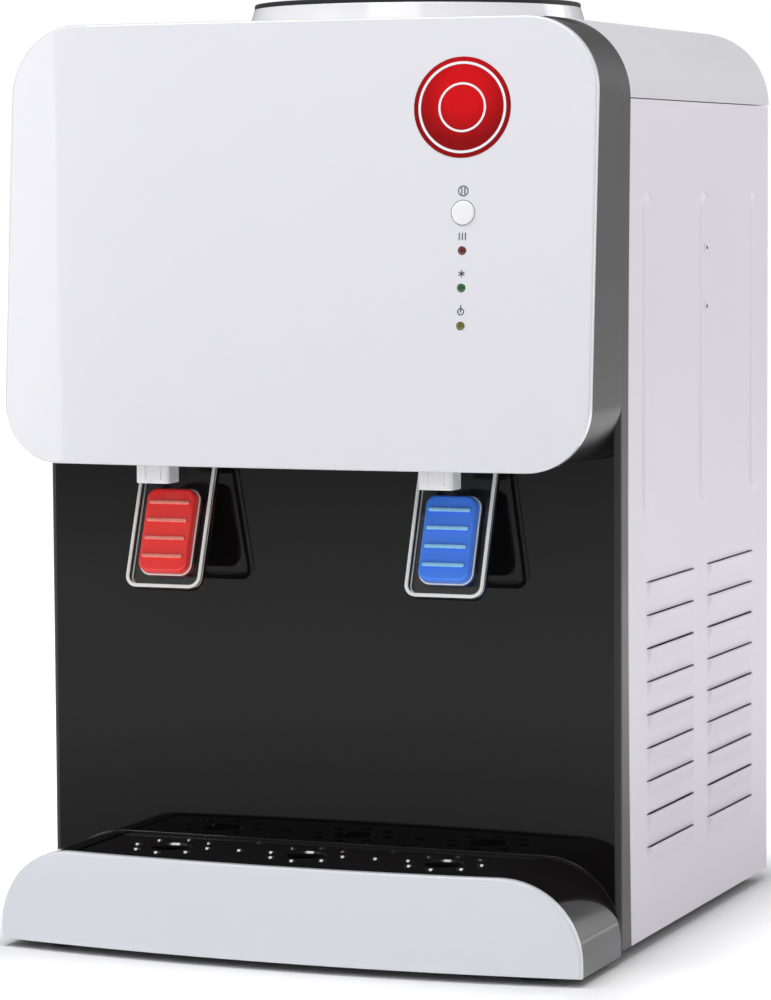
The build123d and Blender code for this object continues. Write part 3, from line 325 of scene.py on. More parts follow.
@dataclass(frozen=True)
class SheetPaint(Finish):
    """Sprayed sheet steel, with the fine ripple that paint dries to."""

    ripple: float = 420.0
    skin: float = 0.15
    skin_rough: float = 0.25

    def relief(self, graph: Graph) -> Socket:
        """Give the ripple."""
        return graph.noise(self.ripple, 1.0)

    def settings(self) -> dict[str, float]:
        """Give the paint's thin clear skin."""
        return {"Coat Weight": self.skin, "Coat Roughness": self.skin_rough}


@dataclass(frozen=True)
class BareMetal(Finish):
    """Metal with brushing along one direction."""

    stretch: tuple[float, float, float] = (0.04, 0.04, 1.0)

    def pattern(self, graph: Graph) -> Socket:
        """Give the brushing."""
        return graph.noise(self.grain, 4.0, self.stretch)

    def relief(self, graph: Graph) -> Socket:
        """Give the brushing's height."""
        return self.pattern(graph)

    def settings(self) -> dict[str, float]:
        """Make it metal."""
        return {"Metallic": 1.0}


@dataclass(frozen=True)
class CellFoam(Finish):
    """Closed cell foam."""

    def relief(self, graph: Graph) -> Socket:
        """Give the cells."""
        return graph.cells(self.grain)


@dataclass(frozen=True)
class RoundPrint(Finish):
    """Glossy print, light at its middle and darker towards its rim."""

    centre: tuple[float, float, float] = (0.0, 0.0, 0.0)
    reach: float = 0.03

    def pattern(self, graph: Graph) -> Socket:
        """Give the fall from the middle to the rim."""
        return graph.ball(self.centre, self.reach)

    def settings(self) -> dict[str, float]:
        """Keep the print's reflection weak."""
        return {"Specular IOR Level": 0.2}


WHITE_FASCIA = GlossPlastic(
    "white_fascia", linear(228, 228, 234), 0.99, 0.22, 0.05, 6.0, 300.0, 0.000001, 1.0, 0.012
)
TRAY_WHITE = GlossPlastic(
    "white_fascia", linear(228, 229, 236), 0.99, 0.22, 0.05, 6.0, 300.0, 0.000004
)
# Brighter copy of the cover's white (same white_cover slot) for the collar: painted light where it catches
# the light from above.
COLLAR_PAINTED_LIGHT = GlossPlastic(
    "white_cover", linear(246, 246, 250), 0.98, 0.2, 0.05, 9.0, 500.0, 0.000006
)
WHITE_BUTTON = GlossPlastic(
    "white_button", linear(240, 240, 244), 0.97, 0.35, 0.08, 60.0, 1500.0, 0.00001, 0.2
)
WHITE_COVER = Finish("white_cover", linear(217, 216, 222), 0.975, 0.5, 0.08, 8.0, 1300.0, 0.00003)
PANEL_PAINT = SheetPaint(
    "panel_paint", linear(226, 222, 231), 0.975, 0.45, 0.06, 5.0, 900.0, 0.00001
)
BLACK_GLOSS = GlossPlastic(
    "black_gloss", linear(24, 21, 22), 0.85, 0.13, 0.04, 7.0, 250.0, 0.000002, 0.25, 0.04, 0.55
)
BLACK_SATIN = GlossPlastic(
    "black_gloss", linear(24, 22, 23), 0.88, 0.36, 0.05, 7.0, 250.0, 0.000002, 0.1, 0.3, 0.45
)
BLACK_MIRROR = GlossPlastic(
    "black_gloss", linear(18, 16, 17), 0.85, 0.05, 0.03, 7.0, 250.0, 0.0, 0.0, 0.03, 0.2
)
BLACK_GRILLE = GlossPlastic(
    "black_grille", linear(30, 28, 29), 0.85, 0.14, 0.05, 14.0, 700.0, 0.000002, 0.5, 0.04
)
BLACK_RUBBER = Finish("black_rubber", linear(30, 30, 31), 0.8, 0.7, 0.1, 40.0, 2500.0, 0.00004)
INNER_PLASTIC = Finish("inner_plastic", linear(70, 70, 73), 0.9, 0.55, 0.1, 15.0, 1200.0, 0.00004)
SEAT_PLASTIC = Finish("seat_plastic", linear(222, 223, 228), 0.96, 0.4, 0.08, 12.0, 1200.0, 0.00002)
TAP_WHITE = GlossPlastic(
    "tap_white", linear(248, 248, 250), 0.97, 0.3, 0.06, 30.0, 1200.0, 0.00001, 0.3
)
CLEAR_LEVER = ClearPlastic(
    "clear_lever", (0.95, 0.975, 0.98), 0.985, 0.05, 0.04, 40.0, 500.0, 0.000003
)
# Near-white copy of the clear lever's material for the lever's soft edges and rim tops: a painted
# highlight.
LEVER_EDGE_HIGHLIGHT = GlossPlastic(
    "clear_lever", linear(250, 250, 248), 0.96, 0.25, 0.08, 90.0, 900.0, 0.000004, 0.6
)
RED_PAD = GlossPlastic("red_pad", linear(255, 54, 50), 0.95, 0.34, 0.04, 30.0, 1400.0, 0.0, 0.25)
# Lighter copies of the pad colours for the ridges' crests: a painted highlight.
RED_RIDGE_HIGHLIGHT = GlossPlastic(
    "red_pad", linear(255, 146, 132), 0.9, 0.3, 0.08, 60.0, 1400.0, 0.00001, 0.3
)
BLUE_RIDGE_HIGHLIGHT = GlossPlastic(
    "blue_pad", linear(150, 216, 255), 0.92, 0.3, 0.08, 60.0, 1400.0, 0.00001, 0.3
)
BLUE_PAD = GlossPlastic("blue_pad", linear(66, 136, 255), 0.95, 0.34, 0.04, 30.0, 1400.0, 0.0, 0.25)
RED_LENS = GlossPlastic(
    "red_lens", linear(108, 26, 24), 0.6, 0.15, 0.05, 500.0, 900.0, 0.00001, 0.8
)
GREEN_LENS = GlossPlastic(
    "green_lens", linear(30, 96, 52), 0.6, 0.15, 0.05, 500.0, 900.0, 0.00001, 0.8
)
AMBER_LENS = GlossPlastic(
    "amber_lens", linear(120, 112, 44), 0.6, 0.15, 0.05, 500.0, 900.0, 0.00001, 0.8
)
BOARD = Finish("board", linear(30, 104, 58), 0.6, 0.45, 0.15, 260.0, 700.0, 0.00004)
DARK_SCREW = BareMetal("steel", (0.10, 0.10, 0.11), 0.7, 0.45, 0.1, 60.0, 1500.0, 0.00001)
STICKER_RED = RoundPrint(
    "red_pad", linear(206, 14, 22), 0.42, 0.3, 0.08, 30.0, 600.0, 0.000003, (0.0865, -0.131, 0.415), 0.034
)
SIGN_GREY = Finish("black_fitting", linear(66, 66, 70), 0.9, 0.5, 0.1, 200.0, 1500.0, 0.000002)
STEEL = BareMetal("steel", (0.56, 0.56, 0.57), 0.8, 0.35, 0.1, 20.0, 900.0, 0.00001)
TANK_STEEL = BareMetal("tank_steel", (0.62, 0.62, 0.63), 0.82, 0.38, 0.12, 20.0, 700.0, 0.00001)
FOAM = CellFoam("foam", linear(222, 221, 214), 0.9, 0.9, 0.1, 60.0, 420.0, 0.0004)
SILICONE = GlossPlastic(
    "silicone", linear(224, 226, 226), 0.93, 0.45, 0.1, 40.0, 900.0, 0.00002, 0.1
)
ALLOY = BareMetal(
    "alloy", (0.70, 0.71, 0.72), 0.85, 0.42, 0.1, 20.0, 1200.0, 0.00001, (1.0, 1.0, 0.03)
)
MODULE_CERAMIC = Finish(
    "module_ceramic", linear(232, 231, 226), 0.93, 0.6, 0.1, 80.0, 1600.0, 0.00002
)
BLACK_FITTING = Finish("black_fitting", linear(34, 34, 35), 0.85, 0.5, 0.1, 50.0, 1600.0, 0.00003)
HEATING_SWITCH = GlossPlastic(
    "heating_switch", linear(178, 24, 20), 0.85, 0.3, 0.08, 90.0, 1200.0, 0.00001
)
COOLING_SWITCH = GlossPlastic(
    "cooling_switch", linear(24, 120, 52), 0.85, 0.3, 0.08, 90.0, 1200.0, 0.00001
)

NODE_FINISHES: dict[Finish, tuple[str, ...]] = {
    WHITE_FASCIA: ("control_fascia", "tray_fascia"),
    WHITE_BUTTON: ("reheat_button",),
    WHITE_COVER: ("top_cover", "bottle_collar"),
    PANEL_PAINT: ("side_panel_left", "side_panel_right", "rear_panel"),
    BLACK_SATIN: ("head_shell",),
    BLACK_GLOSS: ("tray_base",),
    BLACK_MIRROR: ("front_frame",),
    BLACK_GRILLE: ("drip_grille", "drip_tray"),
    BLACK_RUBBER: ("feet", "collar_seal"),
    INNER_PLASTIC: ("base_plate", "tank_shelf", "fan_frame", "fan_rotor", "power_supply"),
    SEAT_PLASTIC: ("bottle_seat", "feed_probe"),
    TAP_WHITE: ("hot_tap_body", "cold_tap_body", "tap_nuts"),
    CLEAR_LEVER: ("hot_lever", "cold_lever"),
    RED_PAD: ("hot_pad",),
    BLUE_PAD: ("cold_pad",),
    RED_LENS: ("heating_lens",),
    GREEN_LENS: ("cooling_lens",),
    AMBER_LENS: ("power_lens",),
    BOARD: ("control_board",),
    DARK_SCREW: ("case_screws",),
    STEEL: ("hinge_pins", "valve_springs", "button_spring", "hot_tank_stand"),
    TANK_STEEL: ("cold_tank", "hot_tank", "heater_band"),
    FOAM: ("cold_jacket", "hot_jacket"),
    SILICONE: ("feed_hose", "hot_hose", "cold_hose", "drain_hose", "hot_valve_stem", "cold_valve_stem"),
    ALLOY: ("cooling_block", "heat_sink"),
    MODULE_CERAMIC: ("cooling_module", "thermostats"),
    BLACK_FITTING: (
        "cord_gland",
        "heating_switch_holder",
        "cooling_switch_holder",
        "drain_fitting",
        "drain_cap",
    ),
    HEATING_SWITCH: ("heating_rocker",),
    COOLING_SWITCH: ("cooling_rocker",),
}

SOFT_EDGES: dict[str, float] = {
    "feet": 0.8,
    "drip_tray": 0.5,
    "drain_fitting": 0.3,
    "drain_cap": 0.6,
    "cord_gland": 0.5,
    "heating_switch_holder": 0.4,
    "cooling_switch_holder": 0.4,
    "heating_rocker": 0.4,
    "cooling_rocker": 0.4,
    "feed_probe": 0.4,
}


class Paintbox:
    """Makes each finish's material once, and gives every CAD node its own."""

    def __init__(self) -> None:
        """Start with no materials."""
        self.made: dict[Finish, bpy.types.Material] = {}

    def material(self, finish: Finish) -> bpy.types.Material:
        """Give a finish's material, made on first use."""
        if finish not in self.made:
            self.made[finish] = finish.make()
        return self.made[finish]

    def dress_nodes(self) -> None:
        """Put a finish on every CAD node."""
        for finish, nodes in NODE_FINISHES.items():
            for node in nodes:
                mesh = frame["nodes"][node].data
                mesh.materials.clear()
                mesh.materials.append(self.material(finish))


def block(bm: Mesh, size: Point, centre: Point) -> list[Vert]:
    """Add a box of a size round a centre, and give its vertices."""
    matrix = Matrix.LocRotScale(Vector(centre), None, Vector(size))
    return bmesh.ops.create_cube(bm, size=1.0, matrix=matrix)["verts"]


def rod(bm: Mesh, radius: float, ends: Sequence[Point], segments: int = 40) -> list[Vert]:
    """Add a closed cylinder between two points.

    Args:
        bm: Mesh to add to.
        radius: Its radius.
        ends: Centres of its two ends.
        segments: Sides round it.

    Returns:
        Its vertices.
    """
    start, end = (Vector(point) for point in ends)
    turn = (end - start).to_track_quat("Z", "Y").to_matrix().to_4x4()
    matrix = Matrix.Translation((start + end) / 2) @ turn
    made = bmesh.ops.create_cone(
        bm,
        cap_ends=True,
        segments=segments,
        radius1=radius,
        radius2=radius,
        depth=(end - start).length,
        matrix=matrix,
    )
    return made["verts"]


def edges_along(verts: Iterable[Vert], axis: Axis) -> list[Edge]:
    """Give the edges of some vertices that run along an axis."""
    found = {edge for vert in verts for edge in vert.link_edges}
    return [e for e in found if abs((e.verts[0].co - e.verts[1].co).normalized()[axis.value]) > 0.999]


def edges_round(faces: Iterable[Face]) -> list[Edge]:
    """Give the edges round some faces."""
    return list({edge for face in faces for edge in face.edges})


def sharp_edges(bm: Mesh, degrees: float) -> list[Edge]:
    """Give the edges whose two faces meet at more than an angle."""
    limit = radians(degrees)
    return [e for e in bm.edges if e.is_manifold and e.calc_face_angle() > limit]


def faces_towards(bm: Mesh, direction: Point) -> list[Face]:
    """Give the faces that look along a direction."""
    bm.normal_update()
    return [f for f in bm.faces if f.normal.dot(Vector(direction)) > 0.999]


def soften(
    bm: Mesh, edges: Sequence[Edge], radius: float, segments: int
) -> list[Face]:
    """Round some edges, and give the faces that the rounding adds."""
    made = bmesh.ops.bevel(
        bm,
        geom=list(edges),
        offset=radius,
        offset_type="OFFSET",
        segments=segments,
        profile=0.5,
        affect="EDGES",
        clamp_overlap=True,
        material=-1,
    )
    return made["faces"]


def made_verts(geom: Iterable[Vert | Edge | Face]) -> list[Vert]:
    """Give the vertices among what an operator made."""
    return [part for part in geom if isinstance(part, Vert)]


def open_towards(bm: Mesh, *directions: Point) -> None:
    """Delete the faces that look along some directions."""
    faces = [face for direction in directions for face in faces_towards(bm, direction)]
    bmesh.ops.delete(bm, geom=faces, context="FACES")


def thicken(bm: Mesh, wall: float) -> None:
    """Give a sheet a wall, with its faces turned outwards."""
    bmesh.ops.solidify(bm, geom=bm.faces[:], thickness=wall)
    bmesh.ops.recalc_face_normals(bm, faces=bm.faces)


def arch(box: Box, radius: float, segments: int = ARCH_SEGMENTS) -> Mesh:
    """Make a block that fills a box, with its two upper edges along Y round."""
    bm = bmesh.new()
    block(bm, box.size, box.middle)
    high = [e for e in edges_along(bm.verts, Axis.Y) if e.verts[0].co.z > box.middle.z]
    soften(bm, high, radius, segments)
    return bm


def slice_at(bm: Mesh, axis: Axis, places: Iterable[float]) -> None:
    """Cut a mesh's faces across an axis at some places."""
    normal = Vector([1.0 if i == axis.value else 0.0 for i in range(3)])
    for place in sorted(set(places)):
        geom = bm.verts[:] + bm.edges[:] + bm.faces[:]
        bmesh.ops.bisect_plane(bm, geom=geom, dist=1e-4, plane_co=normal * place, plane_no=normal)


def evenly(low: float, high: float, count: int) -> list[float]:
    """Give places that divide a stretch into equal shares, without its ends."""
    return [low + (high - low) * i / count for i in range(1, count)]


def lathe(
    profile: Sequence[tuple[float, float]], centre: Vector, closed: bool = True, steps: int = 128
) -> Mesh:
    """Turn a profile round an upright axis.

    Args:
        profile: Points as radius and height.
        centre: A point on the axis.
        closed: Whether the last point joins the first.
        steps: Sides round the axis.

    Returns:
        The turned mesh.
    """
    bm = bmesh.new()
    verts = [bm.verts.new((centre.x + radius, centre.y, height)) for radius, height in profile]
    pairs = list(zip(verts, verts[1:]))
    if closed:
        pairs.append((verts[-1], verts[0]))
    edges = [bm.edges.new(pair) for pair in pairs]
    bmesh.ops.spin(
        bm,
        geom=verts + edges,
        cent=centre,
        axis=(0, 0, 1),
        angle=2 * pi,
        steps=steps,
        use_merge=True,
    )
    bmesh.ops.remove_doubles(bm, verts=bm.verts, dist=1e-4)
    bmesh.ops.recalc_face_normals(bm, faces=bm.faces)
    return bm


def baked(bm: Mesh, name: str) -> bpy.types.Mesh:
    """Turn a mesh in the making, which is freed, into mesh data."""
    mesh = bpy.data.meshes.new(name)
    bm.to_mesh(mesh)
    bm.free()
    return mesh


def placed(name: str, data: bpy.types.ID) -> bpy.types.Object:
    """Put an object that holds some data into the scene."""
    made = bpy.data.objects.new(name, data)
    bpy.context.scene.collection.objects.link(made)
    return made


def face_along(bm: Mesh, direction: Point) -> None:
    """Turn a sheet's faces the same way, most of them along a direction."""
    bmesh.ops.recalc_face_normals(bm, faces=bm.faces)
    if sum(face.normal.dot(Vector(direction)) for face in bm.faces) < 0:
        bmesh.ops.reverse_faces(bm, faces=bm.faces)


def absorb(bm: Mesh, other: Mesh) -> None:
    """Add another mesh, which is freed, to a mesh."""
    mesh = baked(other, "absorbed")
    bm.from_mesh(mesh)
    bpy.data.meshes.remove(mesh)


def cut_away(bm: Mesh, cutter: Mesh) -> Mesh:
    """Take one mesh's volume out of another.

    Args:
        bm: Mesh to cut, which is freed.
        cutter: Volume to take out, which is freed.

    Returns:
        The mesh that is left.
    """
    sources = {"cut_blank": bm, "cut_tool": cutter}
    holders = [placed(name, baked(source, name)) for name, source in sources.items()]
    modifier = holders[0].modifiers.new("cut", "BOOLEAN")
    modifier.operation = "DIFFERENCE"
    modifier.solver = "EXACT"
    modifier.object = holders[1]
    graph = bpy.context.evaluated_depsgraph_get()
    left = bpy.data.meshes.new_from_object(holders[0].evaluated_get(graph))
    result = bmesh.new()
    result.from_mesh(left)
    for holder in holders:
        mesh = holder.data
        bpy.data.objects.remove(holder)
        bpy.data.meshes.remove(mesh)
    bpy.data.meshes.remove(left)
    return result


@dataclass
class SubAssembly:
    """Some pieces that belong together, with what it takes to put them in the scene."""

    paints: Paintbox

    def publish(
        self,
        bm: Mesh,
        name: str,
        finish: Finish,
        body: str = CASE,
        nodes: Sequence[str] = (),
        smooth: float = 35.0,
        wall: float = 0.0,
        extra: Sequence[Finish] = (),
    ) -> bpy.types.Object:
        """Turn a mesh into a piece that rides on a body.

        Args:
            bm: The mesh in millimetres, which is freed.
            name: The piece's name.
            finish: Its finish.
            body: The CAD body that carries it.
            nodes: CAD nodes that it stands for.
            smooth: Angle in degrees under which an edge is shaded round.
            wall: Thickness that an open sheet gets inwards.
            extra: Finishes of the faces whose material index is above 0.

        Returns:
            The piece.
        """
        bmesh.ops.scale(bm, vec=(MM, MM, MM), verts=bm.verts)
        mesh = baked(bm, name)
        mesh.shade_smooth()
        mesh.set_sharp_from_angle(angle=radians(smooth))
        for each in (finish, *extra):
            mesh.materials.append(self.paints.material(each))
        piece = placed(name, mesh)
        if wall:
            shell = piece.modifiers.new("wall", "SOLIDIFY")
            shell.thickness = wall * MM
            shell.offset = -1.0
        normals = piece.modifiers.new("even_shading", "WEIGHTED_NORMAL")
        normals.keep_sharp = True
        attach(piece, body)
        if nodes:
            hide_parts(*nodes)
        log.info("%s rides on %s", name, body)
        return piece


def bow_at(half: float, bow: float, x: float) -> float:
    """Depth of a bowed front at x: nothing at its ends, -bow at its middle."""
    radius = (half**2 + bow**2) / (2 * bow)
    return radius - bow - sqrt(radius**2 - x**2)


@dataclass
class BowedFront:
    """Shape of a bowed face that may lean."""

    half: float
    bow: float
    foot: float
    end_y: float
    lean: float = 0.0

    def at(self, x: float, z: float) -> float:
        """Give the face's Y at a point of the front view."""
        bowed = bow_at(self.half, self.bow, x) / cos(self.lean)
        return self.end_y + bowed + tan(self.lean) * (z - self.foot)


@dataclass
class Fascia(SubAssembly):
    """White bowed front plate with round corners."""

    name: str
    bow: float
    top_radius: float
    foot_radius: float
    lean: float = 0.0
    finish: Finish = WHITE_FASCIA
    thickness: float = 4.0
    edge_round: float = 1.2
    strips: int = 56
    corner_segments: int = 16
    holes: tuple[tuple[float, float, float], ...] = ()
    box: Box = field(init=False)
    front: BowedFront = field(init=False)

    def __post_init__(self) -> None:
        """Read the plate's box and set its bowed face in it."""
        self.box = Box.of(self.name)
        end_y = self.box.low.y + self.bow / cos(self.lean)
        half = self.box.size.x / 2
        self.front = BowedFront(half, self.bow, self.box.low.z, end_y, self.lean)

    def outline(self) -> Mesh:
        """Make the plate flat, with its corners and front edge round.

        Returns:
            The flat plate, its front face at Y 0.
        """
        size, middle = self.box.size, self.box.middle
        bm = bmesh.new()
        block(bm, (size.x, self.thickness, size.z), (middle.x, self.thickness / 2, middle.z))
        corners = edges_along(bm.verts, Axis.Y)
        high = [e for e in corners if e.verts[0].co.z > middle.z]
        soften(bm, high, self.top_radius, self.corner_segments)
        if self.foot_radius:
            level = self.box.low.z + HAIR
            low = [e for e in edges_along(bm.verts, Axis.Y) if e.verts[0].co.z < level]
            soften(bm, low, self.foot_radius, self.corner_segments)
        soften(bm, edges_round(faces_towards(bm, FRONT)), self.edge_round, 4)
        return bm

    def drill(self, bm: Mesh) -> Mesh:
        """Cut the plate's round holes."""
        if not self.holes:
            return bm
        drills = bmesh.new()
        for x, z, radius in self.holes:
            rod(drills, radius, ((x, -self.thickness, z), (x, 2 * self.thickness, z)))
        return cut_away(bm, drills)

    def build(self) -> None:
        """Make the plate and bend it to its bow and lean."""
        bm = self.drill(self.outline())
        slice_at(bm, Axis.X, evenly(self.box.low.x, self.box.high.x, self.strips))
        for vert in bm.verts:
            vert.co.y += self.front.at(vert.co.x, vert.co.z)
        self.publish(bm, f"{self.name}_plate", self.finish, nodes=(self.name,), smooth=40.0)


@dataclass
class HeadShell(SubAssembly):
    """Black shell between the control fascia and the front frame."""

    fascia: Fascia
    wall: float = 2.5
    joint_gap: float = 0.2
    inset: float = 0.8
    slot_width: float = 46.0
    slot_depth: float = 46.7
    strips: int = 48
    corner_segments: int = 20
    rear_lap: float = 3.1

    def tube(self) -> Mesh:
        """Make the shell's wall, open to the front and the rear.

        Returns:
            The wall with no thickness, its front edge on the fascia's bow.
        """
        box = Box.of("head_shell")
        face = self.fascia
        bm = arch(box, face.top_radius - self.inset, self.corner_segments)
        low = [e for e in edges_along(bm.verts, Axis.Y) if e.verts[0].co.z < box.low.z + HAIR]
        soften(bm, low, face.foot_radius - self.inset, self.corner_segments)
        open_towards(bm, FRONT, REAR)
        slice_at(bm, Axis.X, evenly(box.low.x, box.high.x, self.strips))
        set_back = face.thickness / cos(face.lean) + self.joint_gap
        for vert in bm.verts:
            if vert.co.y < box.middle.y:
                vert.co.y = face.front.at(vert.co.x, vert.co.z) + set_back
            else:
                vert.co.y += self.rear_lap
        return bm

    def build(self) -> None:
        """Give the wall its thickness, and cut a slot below each tap."""
        bm = self.tube()
        thicken(bm, self.wall)
        box = Box.of("head_shell")
        slots = bmesh.new()
        for x in (-TAP_X, TAP_X):
            size = (self.slot_width, 2 * self.slot_depth, 4 * self.wall)
            block(slots, size, (x, box.high.y, box.low.z))
        bm = cut_away(bm, slots)
        self.publish(bm, "head_shell_skin", BLACK_SATIN, nodes=("head_shell",))


@dataclass
class SidePanel(SubAssembly):
    """Pressed sheet side with two columns of louvres and three ribs."""

    side: Side
    half_width: float = 150.0
    sheet: float = 1.0
    front_bow: float = 4.3
    rows: int = 9
    pitch: float = 16.2
    low_louvre: float = 43.9
    slit: float = 0.5
    hood: float = 10.0
    hood_rise: float = 1.75
    hood_end: float = 3.5
    columns: tuple[tuple[float, float], ...] = ((171.2, 76.5), (70.0, 80.0))
    rib_sets: tuple[float, ...] = (207.5, 115.0, 27.0)
    rib_low: float = 205.0
    rib_length: float = 157.0
    rib_width: float = 20.0
    rib_rise: float = 1.15
    rib_slope: float = 3.0
    fold: float = 1.6
    fold_steps: int = 5
    end_steps: int = 5
    hood_steps: int = 8
    rib_steps: int = 10
    rib_end_steps: int = 14
    strips: int = 40
    box: Box = field(init=False)

    def __post_init__(self) -> None:
        """Read the panel's box."""
        self.box = Box.of(f"side_panel_{self.side.name.lower()}")

    def louvre_tops(self) -> list[float]:
        """Give the height of each slit's middle."""
        start = self.box.low.z + self.low_louvre
        return [start + i * self.pitch for i in range(self.rows)]

    def column_spans(self) -> list[tuple[float, float]]:
        """Give each column's front and rear end."""
        rear = self.box.high.y
        return [(rear - set_in - long / 2, rear - set_in + long / 2) for set_in, long in self.columns]

    def louvre_height(self, y: float, z: float) -> float:
        """Give how far the louvres push a point of the sheet out."""
        for front, rear in self.column_spans():
            ends = smoothstep(min(y - front, rear - y) / self.hood_end)
            for top in self.louvre_tops():
                share = (top - self.slit / 2 - z) / (self.hood - self.slit / 2)
                if -0.001 <= share <= 1 and ends > 0:
                    return self.hood_rise * ends * (1 - smoothstep(share))
        return 0.0

    def rib_height(self, y: float, z: float) -> float:
        """Give how far the ribs push a point of the sheet out."""
        middle = self.box.low.z + self.rib_low + self.rib_length / 2
        spine = self.rib_length / 2 - self.rib_width / 2
        height = 0.0
        for rib_set in self.rib_sets:
            across = y - (self.box.high.y - rib_set)
            beyond = max(0.0, abs(z - middle) - spine)
            inside = self.rib_width / 2 - hypot(across, beyond)
            height = max(height, self.rib_rise * smoothstep(inside / self.rib_slope))
        return height

    def cut_places(self) -> tuple[list[float], list[float]]:
        """Give where the sheet is divided so that its pressings come out smooth.

        Returns:
            The places along Y and the places along Z.
        """
        across = [y for span in self.column_spans() for y in span]
        for front, rear in self.column_spans():
            for i in range(1, self.end_steps + 1):
                step = i / self.end_steps * self.hood_end
                across += [front + step, rear - step]
        for rib_set in self.rib_sets:
            spine = self.box.high.y - rib_set
            steps = range(-self.rib_steps, self.rib_steps + 1)
            across += [spine + i * self.rib_width / (2 * self.rib_steps) for i in steps]
        up = []
        half_slit = self.slit / 2
        for top in self.louvre_tops():
            up += [top + half_slit, top - half_slit]
            for i in range(1, self.hood_steps + 1):
                up.append(top - half_slit - i * (self.hood - half_slit) / self.hood_steps)
        for i in range(1, self.fold_steps + 1):
            step = i * self.fold / self.fold_steps
            across += [self.box.low.y + step, self.box.high.y - step]
        rib_foot = self.box.low.z + self.rib_low
        for i in range(self.rib_end_steps):
            up += [rib_foot + i, rib_foot + self.rib_length - i]
        return across, up

    def build(self) -> None:
        """Press the sheet and cut its slits."""
        bm = bmesh.new()
        middle, size = self.box.middle, self.box.size
        matrix = Matrix.Translation((0, middle.y, middle.z)) @ Matrix.Rotation(pi / 2, 4, "Y")
        bmesh.ops.create_grid(bm, x_segments=1, y_segments=1, size=0.5, matrix=matrix)
        about = Matrix.Translation((0, -middle.y, -middle.z))
        bmesh.ops.scale(bm, vec=(1, size.y, size.z), verts=bm.verts, space=about)
        across, up = self.cut_places()
        slice_at(bm, Axis.Z, up + evenly(self.box.low.z, self.box.high.z, self.strips))
        slice_at(bm, Axis.Y, across)
        slits = [f for f in bm.faces if self.in_slit(f.calc_center_median())]
        bmesh.ops.delete(bm, geom=slits, context="FACES")
        for vert in bm.verts:
            y, z = vert.co.y, vert.co.z
            vert.co.x = self.half_width + max(self.louvre_height(y, z), self.rib_height(y, z))
            inside = self.fold - (y - self.box.low.y)
            if inside > -TINY:
                share = (z - middle.z) / (size.z / 2)
                vert.co.y += self.front_bow * share**2
            at_end = min(self.fold, max(0.0, inside, self.fold - (self.box.high.y - y)))
            vert.co.x -= self.fold - sqrt(self.fold**2 - at_end**2)
        bmesh.ops.scale(bm, vec=(self.side.value, 1, 1), verts=bm.verts)
        face_along(bm, (self.side.value, 0, 0))
        node = f"side_panel_{self.side.name.lower()}"
        self.publish(bm, f"{node}_sheet", PANEL_PAINT, nodes=(node,), smooth=50.0, wall=self.sheet)

    def in_slit(self, point: Vector) -> bool:
        """Tell whether a point lies in one of the louvres' slits."""
        in_column = any(front < point.y < rear for front, rear in self.column_spans())
        return in_column and any(abs(point.z - top) < self.slit / 2 for top in self.louvre_tops())


@dataclass
class TopCover(SubAssembly):
    """White cover with round shoulders and the collar's hole."""

    shoulder: float = 38.4
    wall: float = 2.5
    hole_radius: float = 79.7
    hole_segments: int = 128

    def build(self) -> None:
        """Make the arch, closed at the rear, with its hole."""
        box = Box.of("top_cover")
        collar = Box.of("bottle_collar").middle
        bm = arch(box, self.shoulder)
        open_towards(bm, DOWN, FRONT)
        thicken(bm, self.wall)
        drill = bmesh.new()
        reach = 2 * self.wall
        ends = [(collar.x, collar.y, box.high.z + side * reach) for side in (-1, 1)]
        rod(drill, self.hole_radius, ends, self.hole_segments)
        bm = cut_away(bm, drill)
        self.publish(bm, "top_cover_shell", WHITE_COVER, nodes=("top_cover",))


